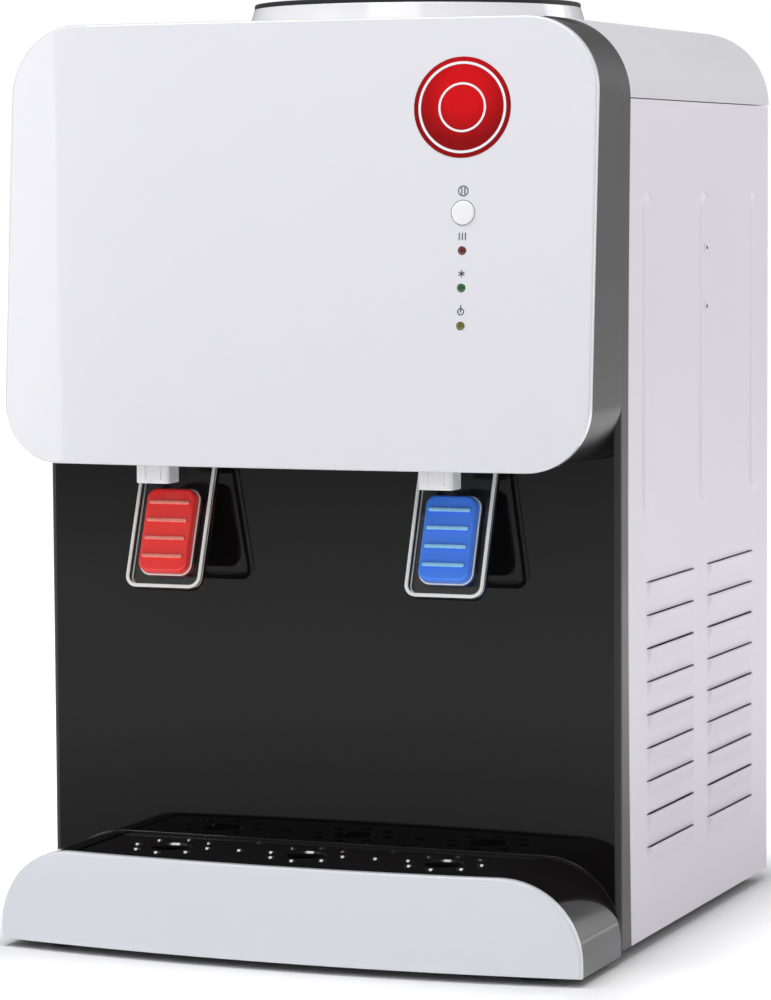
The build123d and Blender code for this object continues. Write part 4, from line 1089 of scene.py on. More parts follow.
@dataclass
class BottleMouth(SubAssembly):
    """Collar, its seal and the funnel that the bottle's neck stands in."""

    bore: float = 77.0
    top_radius: float = 83.4
    base_radius: float = 86.5
    edge_round: float = 0.8
    seal_round: float = 1.0
    seat_round: float = 0.7
    rim: float = 2.7
    rim_height: float = 5.0
    neck_radius: float = 30.0
    neck_top: float = 415.0
    neck_bottom: float = 380.0
    wall: float = 2.5
    outlet_radius: float = 13.0

    def build(self) -> None:
        """Turn the three pieces."""
        self.collar()
        self.seal()
        self.funnel()

    def ring(self, box: Box, base_radius: float) -> Mesh:
        """Turn a ring that fills a box's height, from the bore to the collar's outside."""
        profile = (
            (self.bore, box.low.z),
            (base_radius, box.low.z),
            (self.top_radius, box.high.z),
            (self.bore, box.high.z),
        )
        return lathe(profile, box.middle)

    def collar(self) -> None:
        """Turn the tapered collar."""
        bm = self.ring(Box.of("bottle_collar"), self.base_radius)
        soften(bm, sharp_edges(bm, 30), self.edge_round, 3)
        # The collar takes the brighter copy of the cover's white: painted light.
        self.publish(bm, "bottle_collar_ring", COLLAR_PAINTED_LIGHT, nodes=("bottle_collar",))

    def seal(self) -> None:
        """Turn the seal ring, round at its upper edges."""
        box = Box.of("collar_seal")
        bm = self.ring(box, self.top_radius)
        upper = [e for e in sharp_edges(bm, 30) if e.verts[0].co.z > box.middle.z]
        soften(bm, upper, self.seal_round, 4)
        self.publish(bm, "collar_seal_ring", BLACK_RUBBER, nodes=("collar_seal",))

    def funnel(self) -> None:
        """Turn the funnel, its neck and its outlet."""
        box = Box.of("bottle_seat")
        top, outlet = box.high.z, box.low.z
        profile = (
            (self.bore + self.rim, top),
            (self.bore + self.rim, top - self.rim_height),
            (self.neck_radius + self.wall, self.neck_top - self.wall),
            (self.neck_radius + self.wall, self.neck_bottom - self.wall),
            (self.outlet_radius + self.wall, self.neck_bottom - self.wall),
            (self.outlet_radius + self.wall, outlet),
            (self.outlet_radius, outlet),
            (self.outlet_radius, self.neck_bottom),
            (self.neck_radius, self.neck_bottom),
            (self.neck_radius, self.neck_top),
            (self.bore, top - self.rim_height + self.wall),
            (self.bore, top),
        )
        bm = lathe(profile, box.middle)
        soften(bm, sharp_edges(bm, 20), self.seat_round, 2)
        self.publish(bm, "bottle_seat_funnel", SEAT_PLASTIC, nodes=("bottle_seat",))


@dataclass
class Tap(SubAssembly):
    """One tap: white body, clear lever and coloured pad."""

    water: Water
    tap_x: float
    barrel_height: float = 268.0
    barrel_radius: float = 9.0
    flange_radius: float = 13.0
    flange_thickness: float = 3.0
    shank_radius: float = 7.0
    shank_length: float = 26.0
    spout_reach: float = 37.6
    spout_width: float = 17.6
    spout_depth: float = 14.0
    spout_bore: float = 5.0
    spout_rib: float = 1.6
    spout_rib_pitch: float = 8.0
    spout_rib_proud: float = 0.8
    spout_rib_lift: float = 2.0
    spout_rib_round: float = 0.4
    spout_cap: float = 1.0
    spout_corner: float = 2.2
    spout_lip: float = 0.6
    bore_share: float = 0.7
    barrel_round: float = 0.5
    valve_reach: float = 12.0
    valve_radius: float = 9.5
    valve_low: float = 258.2
    valve_high: float = 284.2
    pivot_reach: float = 24.0
    pivot_height: float = 252.0
    hub_radius: float = 5.0
    hub_width: float = 16.0
    ear_gap: float = 0.3
    ear_thickness: float = 3.0
    ear_round: float = 6.0
    lever_reach: float = 17.3
    lever_level: float = 208.6
    lever_lean: float = radians(20.0)
    lever_width: float = 40.0
    lever_below: float = 35.4
    lever_above: float = 39.0
    lever_plate: float = 2.0
    lever_depth: float = 6.0
    lever_rim: float = 1.8
    lever_corner: float = 6.0
    lever_edge: float = 0.45
    arm_width: float = 14.0
    arm_depth: float = 6.0
    arm_drop: float = 13.0
    arm_rise: float = 1.0
    pad_width: float = 25.8
    pad_length: float = 42.0
    pad_depth: float = 7.5
    pad_corner: float = 5.0
    pad_shift: float = -7.1
    pad_round: float = 1.6
    pad_frame_width: float = 1.0
    pad_frame_height: float = 3.0
    ridges: int = 4
    ridge_pitch: float = 9.0
    ridge_width: float = 21.4
    ridge_height: float = 2.0
    ridge_proud: float = 1.4
    ridge_round: float = 0.7
    crest_share: float = 0.6
    panel_y: float = field(init=False)

    def __post_init__(self) -> None:
        """Find the panel that the tap stands on."""
        self.panel_y = Box.of("front_frame").low.y

    @property
    def lever_frame(self) -> Matrix:
        """Matrix from the lever's own axes, across, up and towards the cup, to the object's."""
        lean = self.lever_lean
        turn = Matrix(((1, 0, 0), (0, sin(lean), -cos(lean)), (0, cos(lean), sin(lean)))).to_4x4()
        origin = Matrix.Translation((self.tap_x, self.panel_y - self.lever_reach, self.lever_level))
        return origin @ turn

    def build(self) -> None:
        """Make the tap's body, lever and pad."""
        self.body()
        self.lever()
        self.pad()

    def body(self) -> None:
        """Make the barrel, flange, valve chamber, ears and spout."""
        word = self.water.value
        x, panel = self.tap_x, self.panel_y
        spout_y = panel - self.spout_reach
        pivot_y = panel - self.pivot_reach
        bottom = Box.of(f"{word}_tap_body").low.z
        bm = bmesh.new()
        axis = self.barrel_height
        lengths = {
            self.barrel_radius: spout_y - self.spout_depth / 2 + self.spout_cap,
            self.flange_radius: panel - self.flange_thickness,
            self.shank_radius: panel + self.shank_length,
        }
        for radius, end_y in lengths.items():
            rod(bm, radius, ((x, panel, axis), (x, end_y, axis)))
        valve_y = panel - self.valve_reach
        rod(bm, self.valve_radius, ((x, valve_y, self.valve_low), (x, valve_y, self.valve_high)))
        for side in (-1, 1):
            ear_x = x + side * (self.hub_width / 2 + self.ear_gap + self.ear_thickness / 2)
            size = (self.ear_thickness, 2 * self.ear_round, axis - self.pivot_height + self.ear_round)
            ear = block(bm, size, (ear_x, pivot_y, (axis + self.pivot_height - self.ear_round) / 2))
            foot = [e for e in edges_along(ear, Axis.X) if e.verts[0].co.z < self.pivot_height]
            soften(bm, foot, self.ear_round - TINY, 8)
        soften(bm, sharp_edges(bm, 50), self.barrel_round, 2)
        self.publish(bm, f"{word}_tap_barrel", TAP_WHITE)
        self.spout(x, spout_y, bottom)

    def spout(self, x: float, y: float, bottom: float) -> None:
        """Make the square spout with its two ribs and its bore."""
        word = self.water.value
        bm = bmesh.new()
        height = self.barrel_height - bottom
        tube = block(bm, (self.spout_width, self.spout_depth, height), (x, y, bottom + height / 2))
        soften(bm, edges_along(tube, Axis.Z), self.spout_corner, 5)
        drill = bmesh.new()
        rod(drill, self.spout_bore, ((x, y, bottom - 1), (x, y, bottom + height * self.bore_share)))
        bm = cut_away(bm, drill)
        lip = [e for e in sharp_edges(bm, 50) if e.verts[0].co.z < bottom + HAIR]
        soften(bm, lip, self.spout_lip, 3)
        front = y - self.spout_depth / 2
        for side in (-1, 1):
            size = (self.spout_rib, 2 * self.spout_rib_proud, height - self.spout_rib_lift)
            level = bottom + (height + self.spout_rib_lift) / 2
            rib = block(bm, size, (x + side * self.spout_rib_pitch / 2, front, level))
            soften(bm, edges_along(rib, Axis.Z), self.spout_rib_round, 2)
        self.publish(bm, f"{word}_tap_spout", TAP_WHITE, nodes=(f"{word}_tap_body",))

    def rimmed(self, size: Point, centre: Point, corner: float, rim: float) -> Mesh:
        """Make a plate with round corners, a rim and soft edges, in its place on the lever; its soft edges
        and the rim's top take a near-white copy of the clear material as a painted highlight.

        Args:
            size: Width, length and depth over all.
            centre: Its middle.
            corner: Radius of its corners.
            rim: Width of its rim.

        Returns:
            The plate.
        """
        bm = bmesh.new()
        plate = block(bm, size, centre)
        soften(bm, edges_along(plate, Axis.Z), corner, 8)
        face = faces_towards(bm, UP)
        bmesh.ops.inset_region(bm, faces=face, thickness=rim, use_even_offset=True)
        floor = bmesh.ops.extrude_face_region(bm, geom=face)["geom"]
        bmesh.ops.delete(bm, geom=face, context="FACES")
        sink = self.lever_plate - centre[2] - size[2] / 2
        bmesh.ops.translate(bm, vec=(0, 0, sink), verts=made_verts(floor))
        # The soft edges and the rim's top take the near-white finish: a painted highlight.
        painted_highlight_faces = soften(bm, sharp_edges(bm, 50), self.lever_edge, 2)
        top = centre[2] + size[2] / 2 - self.lever_edge / 2
        painted_highlight_faces += [f for f in faces_towards(bm, UP) if f.calc_center_median().z > top]
        for face in painted_highlight_faces:
            face.material_index = 1
        bmesh.ops.transform(bm, matrix=self.lever_frame, verts=bm.verts)
        return bm

    def lever(self) -> None:
        """Make the clear plate with its rim, and the arm that carries it."""
        word = self.water.value
        height = self.lever_below + self.lever_above
        middle = (self.lever_above - self.lever_below) / 2
        size = (self.lever_width, height, self.lever_depth)
        bm = self.rimmed(size, (0, middle, self.lever_depth / 2), self.lever_corner, self.lever_rim)
        self.arm(bm)
        bmesh.ops.recalc_face_normals(bm, faces=bm.faces)
        nodes = (f"{word}_lever",)
        self.publish(bm, f"{word}_lever_clear", CLEAR_LEVER, f"{word}_lever", nodes, extra=(LEVER_EDGE_HIGHLIGHT,))
        self.pad_frame()

    def pad_frame(self) -> None:
        """Make the low clear frame that the pad sits in."""
        word = self.water.value
        grow = 2 * self.pad_frame_width
        size = (self.pad_width + grow, self.pad_length + grow, self.pad_frame_height)
        top = self.lever_plate + self.pad_frame_height
        centre = (0, self.pad_shift, top - self.pad_frame_height / 2)
        bm = self.rimmed(size, centre, self.pad_corner + self.pad_frame_width, self.pad_frame_width)
        bmesh.ops.recalc_face_normals(bm, faces=bm.faces)
        self.publish(bm, f"{word}_pad_frame", CLEAR_LEVER, f"{word}_lever", extra=(LEVER_EDGE_HIGHLIGHT,))

    def arm(self, bm: Mesh) -> None:
        """Add the lever's arm and hub."""
        joint = Vector((0, self.lever_above - self.lever_corner, self.lever_plate / 2))
        plate_top = self.lever_frame @ joint
        top = self.pivot_height + self.arm_rise
        pivot_y = self.panel_y - self.pivot_reach
        left = self.tap_x - self.arm_width / 2
        side_view = (
            (plate_top.y, top),
            (pivot_y, top),
            (pivot_y, top - self.arm_depth),
            (plate_top.y - self.arm_depth, top - self.arm_depth),
            (plate_top.y - self.arm_depth / 2, top - self.arm_drop),
            (plate_top.y, top - self.arm_drop),
        )
        face = bm.faces.new([bm.verts.new((left, y, z)) for y, z in side_view])
        made = bmesh.ops.extrude_face_region(bm, geom=[face])["geom"]
        bmesh.ops.translate(bm, vec=(self.arm_width, 0, 0), verts=made_verts(made))
        half_hub = self.hub_width / 2
        ends = [(self.tap_x + side * half_hub, pivot_y, self.pivot_height) for side in (-1, 1)]
        rod(bm, self.hub_radius, ends)

    def pad(self) -> None:
        """Make the coloured pad with its ridges, their crests in a lighter copy of the pad's colour as a
        painted highlight.
        """
        word = self.water.value
        hot = self.water is Water.HOT
        finish, ridge_highlight = (RED_PAD, RED_RIDGE_HIGHLIGHT) if hot else (BLUE_PAD, BLUE_RIDGE_HIGHLIGHT)
        bm = bmesh.new()
        low = self.lever_plate
        size = (self.pad_width, self.pad_length, self.pad_depth)
        body = block(bm, size, (0, self.pad_shift, low + self.pad_depth / 2))
        soften(bm, edges_along(body, Axis.Z), self.pad_corner, 8)
        soften(bm, edges_round(faces_towards(bm, UP)), self.pad_round, 5)
        for i in range(self.ridges):
            up = self.pad_shift + (i - (self.ridges - 1) / 2) * self.ridge_pitch
            size = (self.ridge_width, self.ridge_height, 2 * self.ridge_proud)
            ridge = block(bm, size, (0, up, low + self.pad_depth))
            soften(bm, edges_along(ridge, Axis.Z), self.ridge_height / 2 - HAIR / 2, 5)
        face_level = low + self.pad_depth
        upper = [e for e in sharp_edges(bm, 60) if e.verts[0].co.z > face_level + self.ridge_proud / 2]
        soften(bm, upper, self.ridge_round, 3)
        # Faces above the crest level take the lighter copy of the pad's colour: a painted highlight.
        crest_level = face_level + self.crest_share * self.ridge_proud
        for face in bm.faces:
            face.material_index = int(face.calc_center_median().z > crest_level)
        bmesh.ops.transform(bm, matrix=self.lever_frame, verts=bm.verts)
        nodes = (f"{word}_pad",)
        self.publish(bm, f"{word}_pad_ridged", finish, f"{word}_lever", nodes, extra=(ridge_highlight,))


@dataclass
class FrontFrame(SubAssembly):
    """Black arch between head and case: a mirror-like panel with glossy sides."""

    shoulder: float = 38.5
    wall: float = 2.5
    edge_round: float = 3.0
    side_bow: float = 4.5
    holes: tuple[tuple[float, float], ...] = ((-TAP_X, 7.3), (0.0, 12.0), (TAP_X, 7.3))
    hole_height: float = 268.0
    strips: int = 24

    def build(self) -> None:
        """Make the arch, bow its rear edge to the side panels and drill it."""
        box, side = Box.of("front_frame"), Box.of("side_panel_right")
        bm = arch(box, self.shoulder)
        open_towards(bm, REAR)
        soften(bm, edges_round(faces_towards(bm, FRONT)), self.edge_round, 5)
        for face in faces_towards(bm, FRONT):
            face.material_index = 1
        slice_at(bm, Axis.Z, evenly(side.low.z, side.high.z, self.strips))
        for vert in bm.verts:
            share = (vert.co.z - side.middle.z) / (side.size.z / 2)
            if vert.co.y > box.high.y - HAIR and abs(share) < 1:
                vert.co.y -= self.side_bow * (1 - share**2)
        thicken(bm, self.wall)
        drills = bmesh.new()
        for x, radius in self.holes:
            ends = [(x, box.low.y + deep, self.hole_height) for deep in (-1.0, 2 * self.wall)]
            rod(drills, radius, ends)
        bm = cut_away(bm, drills)
        self.publish(bm, "front_frame_arch", BLACK_SATIN, nodes=("front_frame",), extra=(BLACK_MIRROR,))


@dataclass
class DripStation(SubAssembly):
    """Tray base with its round shoulders, the thin rim behind it, and the grille over the tray."""

    fascia: Fascia
    shoulder: float = 39.0
    base_set: float = 4.2
    cup_half: float = 104.0
    wall: float = 2.5
    gap: float = 0.3
    half: float = 109.0
    slide: float = 0.6
    set_back: float = 7.3
    cluster_pitch: float = 71.5
    cluster_reach: float = 31.0
    cluster_hole: float = 9.5
    ring_radius: float = 18.8
    ring_holes: int = 8
    ring_hole: float = 2.4
    pair_step: float = 23.0
    edge_round: float = 0.8
    countersink: float = 1.0
    rim_proud: float = 0.35
    rim_lip: float = 0.7
    rim_round: float = 0.3
    strips: int = 40

    def build(self) -> None:
        """Make the base, the rim and the grille."""
        self.base()
        self.rim()
        self.grille()

    def bowed_block(self, half: float, rear: float, levels: Point, set_back: float) -> Mesh:
        """Make a block whose front follows the fascia's bow.

        Args:
            half: Half its width.
            rear: Y of its rear.
            levels: Heights of its foot and top.
            set_back: How far its front lies behind the fascia's face.

        Returns:
            The block.
        """
        low, high = levels
        front = self.fascia.front.at(half, low)
        bm = bmesh.new()
        block(bm, (2 * half, rear - front, high - low), (0, (rear + front) / 2, (low + high) / 2))
        slice_at(bm, Axis.X, evenly(-half, half, self.strips))
        for vert in bm.verts:
            if vert.co.y < (rear + front) / 2:
                vert.co.y = self.fascia.front.at(vert.co.x, vert.co.z) + set_back
        return bm

    def base(self) -> None:
        """Make the arched base with its cup and the ledge that the grille lies on."""
        box, grille = Box.of("tray_base"), Box.of("drip_grille")
        bm = arch(box, self.shoulder)
        flat = box.high.x - self.shoulder
        slice_at(bm, Axis.X, evenly(-flat, flat, self.strips))
        for vert in bm.verts:
            if vert.co.y < box.middle.y:
                vert.co.y = self.fascia.front.at(vert.co.x, vert.co.z) + self.base_set
        above = box.high.z + self.wall * 2
        inner_set = self.base_set + self.wall
        ledge = (self.half + self.slide, box.high.y + 1, grille.low.z - self.gap)
        cup = (self.cup_half, box.high.y - self.wall, box.low.z + self.wall)
        for half, rear, floor in (ledge, cup):
            bm = cut_away(bm, self.bowed_block(half, rear, (floor, above), inner_set))
        rim = [e for e in sharp_edges(bm, 60) if all(v.co.z > box.high.z - TINY for v in e.verts)]
        soften(bm, [e for e in rim if abs(e.verts[0].co.x) < self.half + 1], self.edge_round / 2, 3)
        self.publish(bm, "tray_base_shell", BLACK_GLOSS, nodes=("tray_base",))

    def rim(self) -> None:
        """Make the thin pad on the panel whose edge follows the base's outline."""
        box, panel = Box.of("tray_base"), Box.of("front_frame").low
        low = Vector((box.low.x, panel.y - self.rim_proud, panel.z))
        high = Vector((box.high.x, panel.y + self.rim_proud, box.high.z + self.rim_lip))
        bm = arch(Box(low, high), self.shoulder - self.rim_lip)
        soften(bm, edges_round(faces_towards(bm, FRONT)), self.rim_round, 3)
        self.publish(bm, "tray_rim", BLACK_GLOSS)

    def hole_places(self) -> list[tuple[float, float, float]]:
        """Give each hole's X, Y and radius."""
        y = Box.of("front_frame").low.y - self.cluster_reach
        holes = []
        for step in (-1, 0, 1):
            x = step * self.cluster_pitch
            holes.append((x, y, self.cluster_hole))
            for i in range(self.ring_holes):
                turn = 2 * pi * i / self.ring_holes
                across, deep = self.ring_radius * cos(turn), self.ring_radius * sin(turn)
                holes.append((x + across, y + deep, self.ring_hole))
        for side in (-1, 1):
            for deep in (y, y + self.pair_step):
                holes.append((side * self.cluster_pitch / 2, deep, self.ring_hole))
        return holes

    def drill(self, x: float, y: float, radius: float, levels: Point) -> Mesh:
        """Make the tool for one countersunk hole through a plate between two levels."""
        low, high = levels
        profile = (
            (0, low - 1),
            (radius, low - 1),
            (radius, high - self.countersink),
            (radius + self.countersink, high),
            (radius + self.countersink, high + 1),
            (0, high + 1),
        )
        return lathe(profile, Vector((x, y, 0)), closed=False, steps=32)

    def grille(self) -> None:
        """Make the bowed plate, soften its edges and drill it."""
        box = Box.of("drip_grille")
        levels = (box.low.z, box.high.z)
        bm = self.bowed_block(self.half, box.high.y, levels, self.set_back)
        bmesh.ops.dissolve_limit(bm, angle_limit=radians(0.2), verts=bm.verts, edges=bm.edges)
        soften(bm, edges_round(faces_towards(bm, UP)), self.edge_round, 2)
        drills = bmesh.new()
        for x, y, radius in self.hole_places():
            absorb(drills, self.drill(x, y, radius, levels))
        bm = cut_away(bm, drills)
        self.publish(bm, "drip_grille_plate", BLACK_GRILLE, "drip_grille", ("drip_grille",))


@dataclass
class CaseScrews(SubAssembly):
    """Painted screws in the sides and the rear, each with a small socket coloured black as painted shade.
    """

    head_radius: float = 2.0
    head_height: float = 0.9
    head_round: float = 0.4
    socket_radius: float = 1.0
    socket_depth: float = 0.8
    shank_radius: float = 1.2
    shank_length: float = 6.0
    side_face: float = 151.15
    side_set: float = 117.0
    side_levels: tuple[float, ...] = (339.6, 310.3)
    rear_recess: float = 3.0
    rear_half: float = 137.0
    rear_levels: tuple[float, ...] = (18.0, 400.0)

    def build(self) -> None:
        """Turn every screw and stand it on its sheet."""
        rear = Box.of("side_panel_right").high.y
        spots = []
        backwards = Matrix.Rotation(-pi / 2, 4, "X")
        for hand in (side.value for side in Side):
            outwards = Matrix.Rotation(hand * pi / 2, 4, "Y")
            for z in self.side_levels:
                spots.append(((hand * self.side_face, rear - self.side_set, z), outwards))
            for z in self.rear_levels:
                spots.append(((hand * self.rear_half, rear - self.rear_recess, z), backwards))
        bm = bmesh.new()
        for spot, turn in spots:
            screw = self.screw()
            bmesh.ops.transform(screw, matrix=Matrix.Translation(spot) @ turn, verts=screw.verts)
            absorb(bm, screw)
        self.publish(bm, "case_screws_painted", PANEL_PAINT, nodes=("case_screws",), extra=(BLACK_RUBBER,))

    def screw(self) -> Mesh:
        """Turn one upright screw, its head's foot at the origin."""
        floor = self.head_height - self.socket_depth
        profile = (
            (0, floor),
            (self.socket_radius, floor),
            (self.socket_radius, self.head_height),
            (self.head_radius - self.head_round, self.head_height),
            (self.head_radius, self.head_height - self.head_round),
            (self.head_radius, 0),
            (self.shank_radius, 0),
            (self.shank_radius, -self.shank_length),
            (0, -self.shank_length),
        )
        bm = lathe(profile, Vector(), closed=False, steps=24)
        # Socket faces take black rubber: painted shade in the recess.
        for face in bm.faces:
            middle = face.calc_center_median()
            in_socket = hypot(middle.x, middle.y) < self.socket_radius + TINY
            face.material_index = int(in_socket and middle.z > TINY)
        return bm


@dataclass
class CordGland(SubAssembly):
    """Rubber membrane that closes the gland's bore until a cord is pushed through."""

    radius: float = 4.1
    skin: float = 0.6
    depth: float = 3.0

    def build(self) -> None:
        """Stretch the membrane across the bore, near its inner end."""
        box = Box.of("cord_gland")
        inner = box.low.y + self.depth
        bm = bmesh.new()
        rod(bm, self.radius, [(box.middle.x, y, box.middle.z) for y in (inner, inner + self.skin)])
        self.publish(bm, "cord_gland_membrane", BLACK_RUBBER)


@dataclass
class Controls(SubAssembly):
    """Reheat button, lamps, their plain signs and the round sticker."""

    fascia: Fascia
    x: float
    button_rise: float
    lamp_rises: dict[str, float]
    button_radius: float = 5.65
    button_proud: float = 0.8
    button_depth: float = 4.9
    button_dome: Dome = ((0.8, 0.05), (0.93, 0.2), (1.0, 0.6))
    flange_radius: float = 7.5
    flange_thickness: float = 1.2
    stem_radius: float = 2.0
    stem_length: float = 3.0
    lens_radius: float = 2.1
    lens_proud: float = 0.4
    lens_flange: float = 3.2
    lens_depth: float = 4.3
    lens_dome: Dome = ((0.55, 0.08), (0.88, 0.25), (1.0, 0.45))
    sign_lift: float = 6.6
    sign_bar: float = 0.5
    sign_reach: float = 1.7
    sign_proud: float = 0.06
    print_wall: float = 0.05
    sticker_x: float = 86.5
    sticker_rise: float = 170.2
    sticker_radius: float = 23.6
    sticker_rings: tuple[tuple[float, float], ...] = ((20.2, 21.4), (10.6, 11.6))

    def facing(self, x: float, rise: float) -> Matrix:
        """Matrix that stands an upright piece on the fascia, rise above its foot along the lean."""
        lean = self.fascia.lean
        z = self.fascia.box.low.z + rise * cos(lean)
        turn = Matrix.Rotation(pi / 2 - lean, 4, "X")
        return Matrix.Translation((x, self.fascia.front.at(x, z), z)) @ turn

    def build(self) -> None:
        """Make the button, the lenses, the signs and the sticker."""
        self.button()
        finishes = {"heating": RED_LENS, "cooling": GREEN_LENS, "power": AMBER_LENS}
        for word, rise in self.lamp_rises.items():
            self.lens(word, rise, finishes[word])
        self.signs()
        self.sticker()

    def plug(self, radii: Point, proud: float, dome: Dome, depth: float) -> list[tuple[float, float]]:
        """Give the profile of a round domed piece, from its middle to its flange's inner edge.

        Args:
            radii: Radius of its head and of its flange.
            proud: Height of its middle.
            dome: Share of the radius and drop at each step outwards.
            depth: How deep its flange lies.

        Returns:
            Points as radius and height.
        """
        head, flange = radii
        rounded = [(head * share, proud - drop) for share, drop in dome]
        low = -depth - self.flange_thickness
        return [(0, proud), *rounded, (head, -depth), (flange, -depth), (flange, low)]

    def button(self) -> None:
        """Turn the button with its flange and stem."""
        radii = (self.button_radius, self.flange_radius)
        profile = self.plug(radii, self.button_proud, self.button_dome, self.button_depth)
        low = profile[-1][1]
        stem = low - self.stem_length
        profile += [(self.stem_radius, low), (self.stem_radius, stem), (0, stem)]
        bm = lathe(profile, Vector(), closed=False, steps=64)
        bmesh.ops.transform(bm, matrix=self.facing(self.x, self.button_rise), verts=bm.verts)
        self.publish(bm, "reheat_button_cap", WHITE_BUTTON, "reheat_button", ("reheat_button",))

    def lens(self, word: str, rise: float, finish: Finish) -> None:
        """Turn one domed lens."""
        radii = (self.lens_radius, self.lens_flange)
        profile = self.plug(radii, self.lens_proud, self.lens_dome, self.lens_depth)
        profile.append((0, profile[-1][1]))
        bm = lathe(profile, Vector(), closed=False, steps=40)
        bmesh.ops.transform(bm, matrix=self.facing(self.x, rise), verts=bm.verts)
        self.publish(bm, f"{word}_lens_dome", finish, nodes=(f"{word}_lens",))

    def ring(self, bm: Mesh, inner: float, outer: float) -> None:
        """Add a flat printed ring in the XY plane."""
        made = bmesh.ops.create_circle(bm, segments=72, radius=outer)["verts"]
        edges = list({edge for vert in made for edge in vert.link_edges})
        grown = bmesh.ops.extrude_edge_only(bm, edges=edges)["geom"]
        bmesh.ops.scale(bm, vec=(inner / outer, inner / outer, 1), verts=made_verts(grown))

    def lay(self, bm: Mesh, x: float, rise: float, proud: float) -> None:
        """Lay a flat print on the fascia's bow, a little proud of it."""
        bmesh.ops.transform(bm, matrix=self.facing(x, rise), verts=bm.verts)
        for vert in bm.verts:
            vert.co.y = self.fascia.front.at(vert.co.x, vert.co.z) - proud
        face_along(bm, FRONT)

    def bars(self, turns: Point, offsets: Point) -> Mesh:
        """Make flat bars in the XY plane.

        Args:
            turns: Angle of each bar from upright.
            offsets: Place of each bar across.

        Returns:
            The bars.
        """
        bm = bmesh.new()
        for turn, offset in zip(turns, offsets):
            matrix = Matrix.Translation((offset, 0, 0)) @ Matrix.Rotation(turn, 4, "Z")
            scale = Matrix.Diagonal((self.sign_bar, 2 * self.sign_reach, 1, 1))
            bmesh.ops.create_grid(bm, x_segments=1, y_segments=1, size=0.5, matrix=matrix @ scale)
        return bm

    def signs(self) -> None:
        """Print a plain sign above the button and above each lamp."""
        gap = 3 * self.sign_bar
        reheat = self.bars((0, 0), (-gap / 2, gap / 2))
        self.ring(reheat, 1.2 * self.sign_reach, 1.2 * self.sign_reach + self.sign_bar)
        power = self.bars((0,), (0,))
        bmesh.ops.translate(power, vec=(0, 0.8 * self.sign_reach, 0), verts=power.verts)
        self.ring(power, self.sign_reach - self.sign_bar, self.sign_reach)
        made = {
            "heating": self.bars((0, 0, 0), (-gap, 0, gap)),
            "cooling": self.bars((0, pi / 3, -pi / 3), (0, 0, 0)),
            "power": power,
        }
        rises = {word: rise + self.sign_lift for word, rise in self.lamp_rises.items()}
        made["reheat"] = reheat
        rises["reheat"] = self.button_rise + self.sign_lift + self.button_radius - self.lens_radius
        for word, bm in made.items():
            self.lay(bm, self.x, rises[word], self.sign_proud)
            self.publish(bm, f"{word}_sign", SIGN_GREY, wall=self.print_wall)

    def sticker(self) -> None:
        """Lay the round sticker and its two plain rings."""
        disc = bmesh.new()
        bmesh.ops.create_circle(disc, cap_ends=True, segments=96, radius=self.sticker_radius)
        slice_at(disc, Axis.X, evenly(-self.sticker_radius, self.sticker_radius, 12))
        self.lay(disc, self.sticker_x, self.sticker_rise, 2 * self.sign_proud)
        self.publish(disc, "round_sticker", STICKER_RED, wall=self.print_wall)
        rings = bmesh.new()
        for inner, outer in self.sticker_rings:
            self.ring(rings, inner, outer)
        self.lay(rings, self.sticker_x, self.sticker_rise, 3 * self.sign_proud)
        self.publish(rings, "sticker_rings", WHITE_BUTTON, wall=self.print_wall)


@dataclass
class SmoothCopies(SubAssembly):
    """CAD nodes whose shape is right, with their round faces shaded round and their edges soft."""

    soft_edges: dict[str, float]
    flat_angle: float = radians(0.5)
    smooth_angle: float = 32.0
    edge_angle: float = radians(40)

    def build(self) -> None:
        """Copy each node, merge its triangles and soften its edges."""
        for node, radius in self.soft_edges.items():
            finish = next(f for f, nodes in NODE_FINISHES.items() if node in nodes)
            body = frame["nodes"][node]["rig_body"]
            bm = bmesh.new()
            bm.from_mesh(frame["nodes"][node].data)
            bmesh.ops.scale(bm, vec=(1 / MM, 1 / MM, 1 / MM), verts=bm.verts)
            bmesh.ops.remove_doubles(bm, verts=bm.verts, dist=1e-3)
            bmesh.ops.dissolve_limit(bm, angle_limit=self.flat_angle, verts=bm.verts, edges=bm.edges)
            name = f"{node}_smooth"
            piece = self.publish(bm, name, finish, body, (node,), smooth=self.smooth_angle)
            edge = piece.modifiers.new("soft_edges", "BEVEL")
            edge.width = radius * MM
            edge.segments = 2
            edge.limit_method = "ANGLE"
            edge.angle_limit = self.edge_angle
            edge.harden_normals = True
            piece.modifiers.move(len(piece.modifiers) - 1, 0)


@dataclass(frozen=True)
class Softbox:
    """Area light that faces the object."""

    name: str
    place: tuple[float, float, float]
    size: tuple[float, float]
    power: float
    roll: float = 0.0


SOFTBOXES = (
    Softbox("left_box", (-1.545, -1.575, 0.75), (0.6, 1.7), 4.6, radians(11.0)),
    Softbox("front_strip", (0.1, -1.7, 1.6), (1.2, 0.3), 3.0),
    Softbox("top_strip", (-0.1, -0.6, 2.0), (2.0, 0.4), 25.0),
    Softbox("right_box", (1.5, 1.6, 1.2), (0.8, 1.2), 7.5),
    Softbox("rear_card", (1.21, 1.87, 1.1), (0.8, 2.3), 4.5),
)


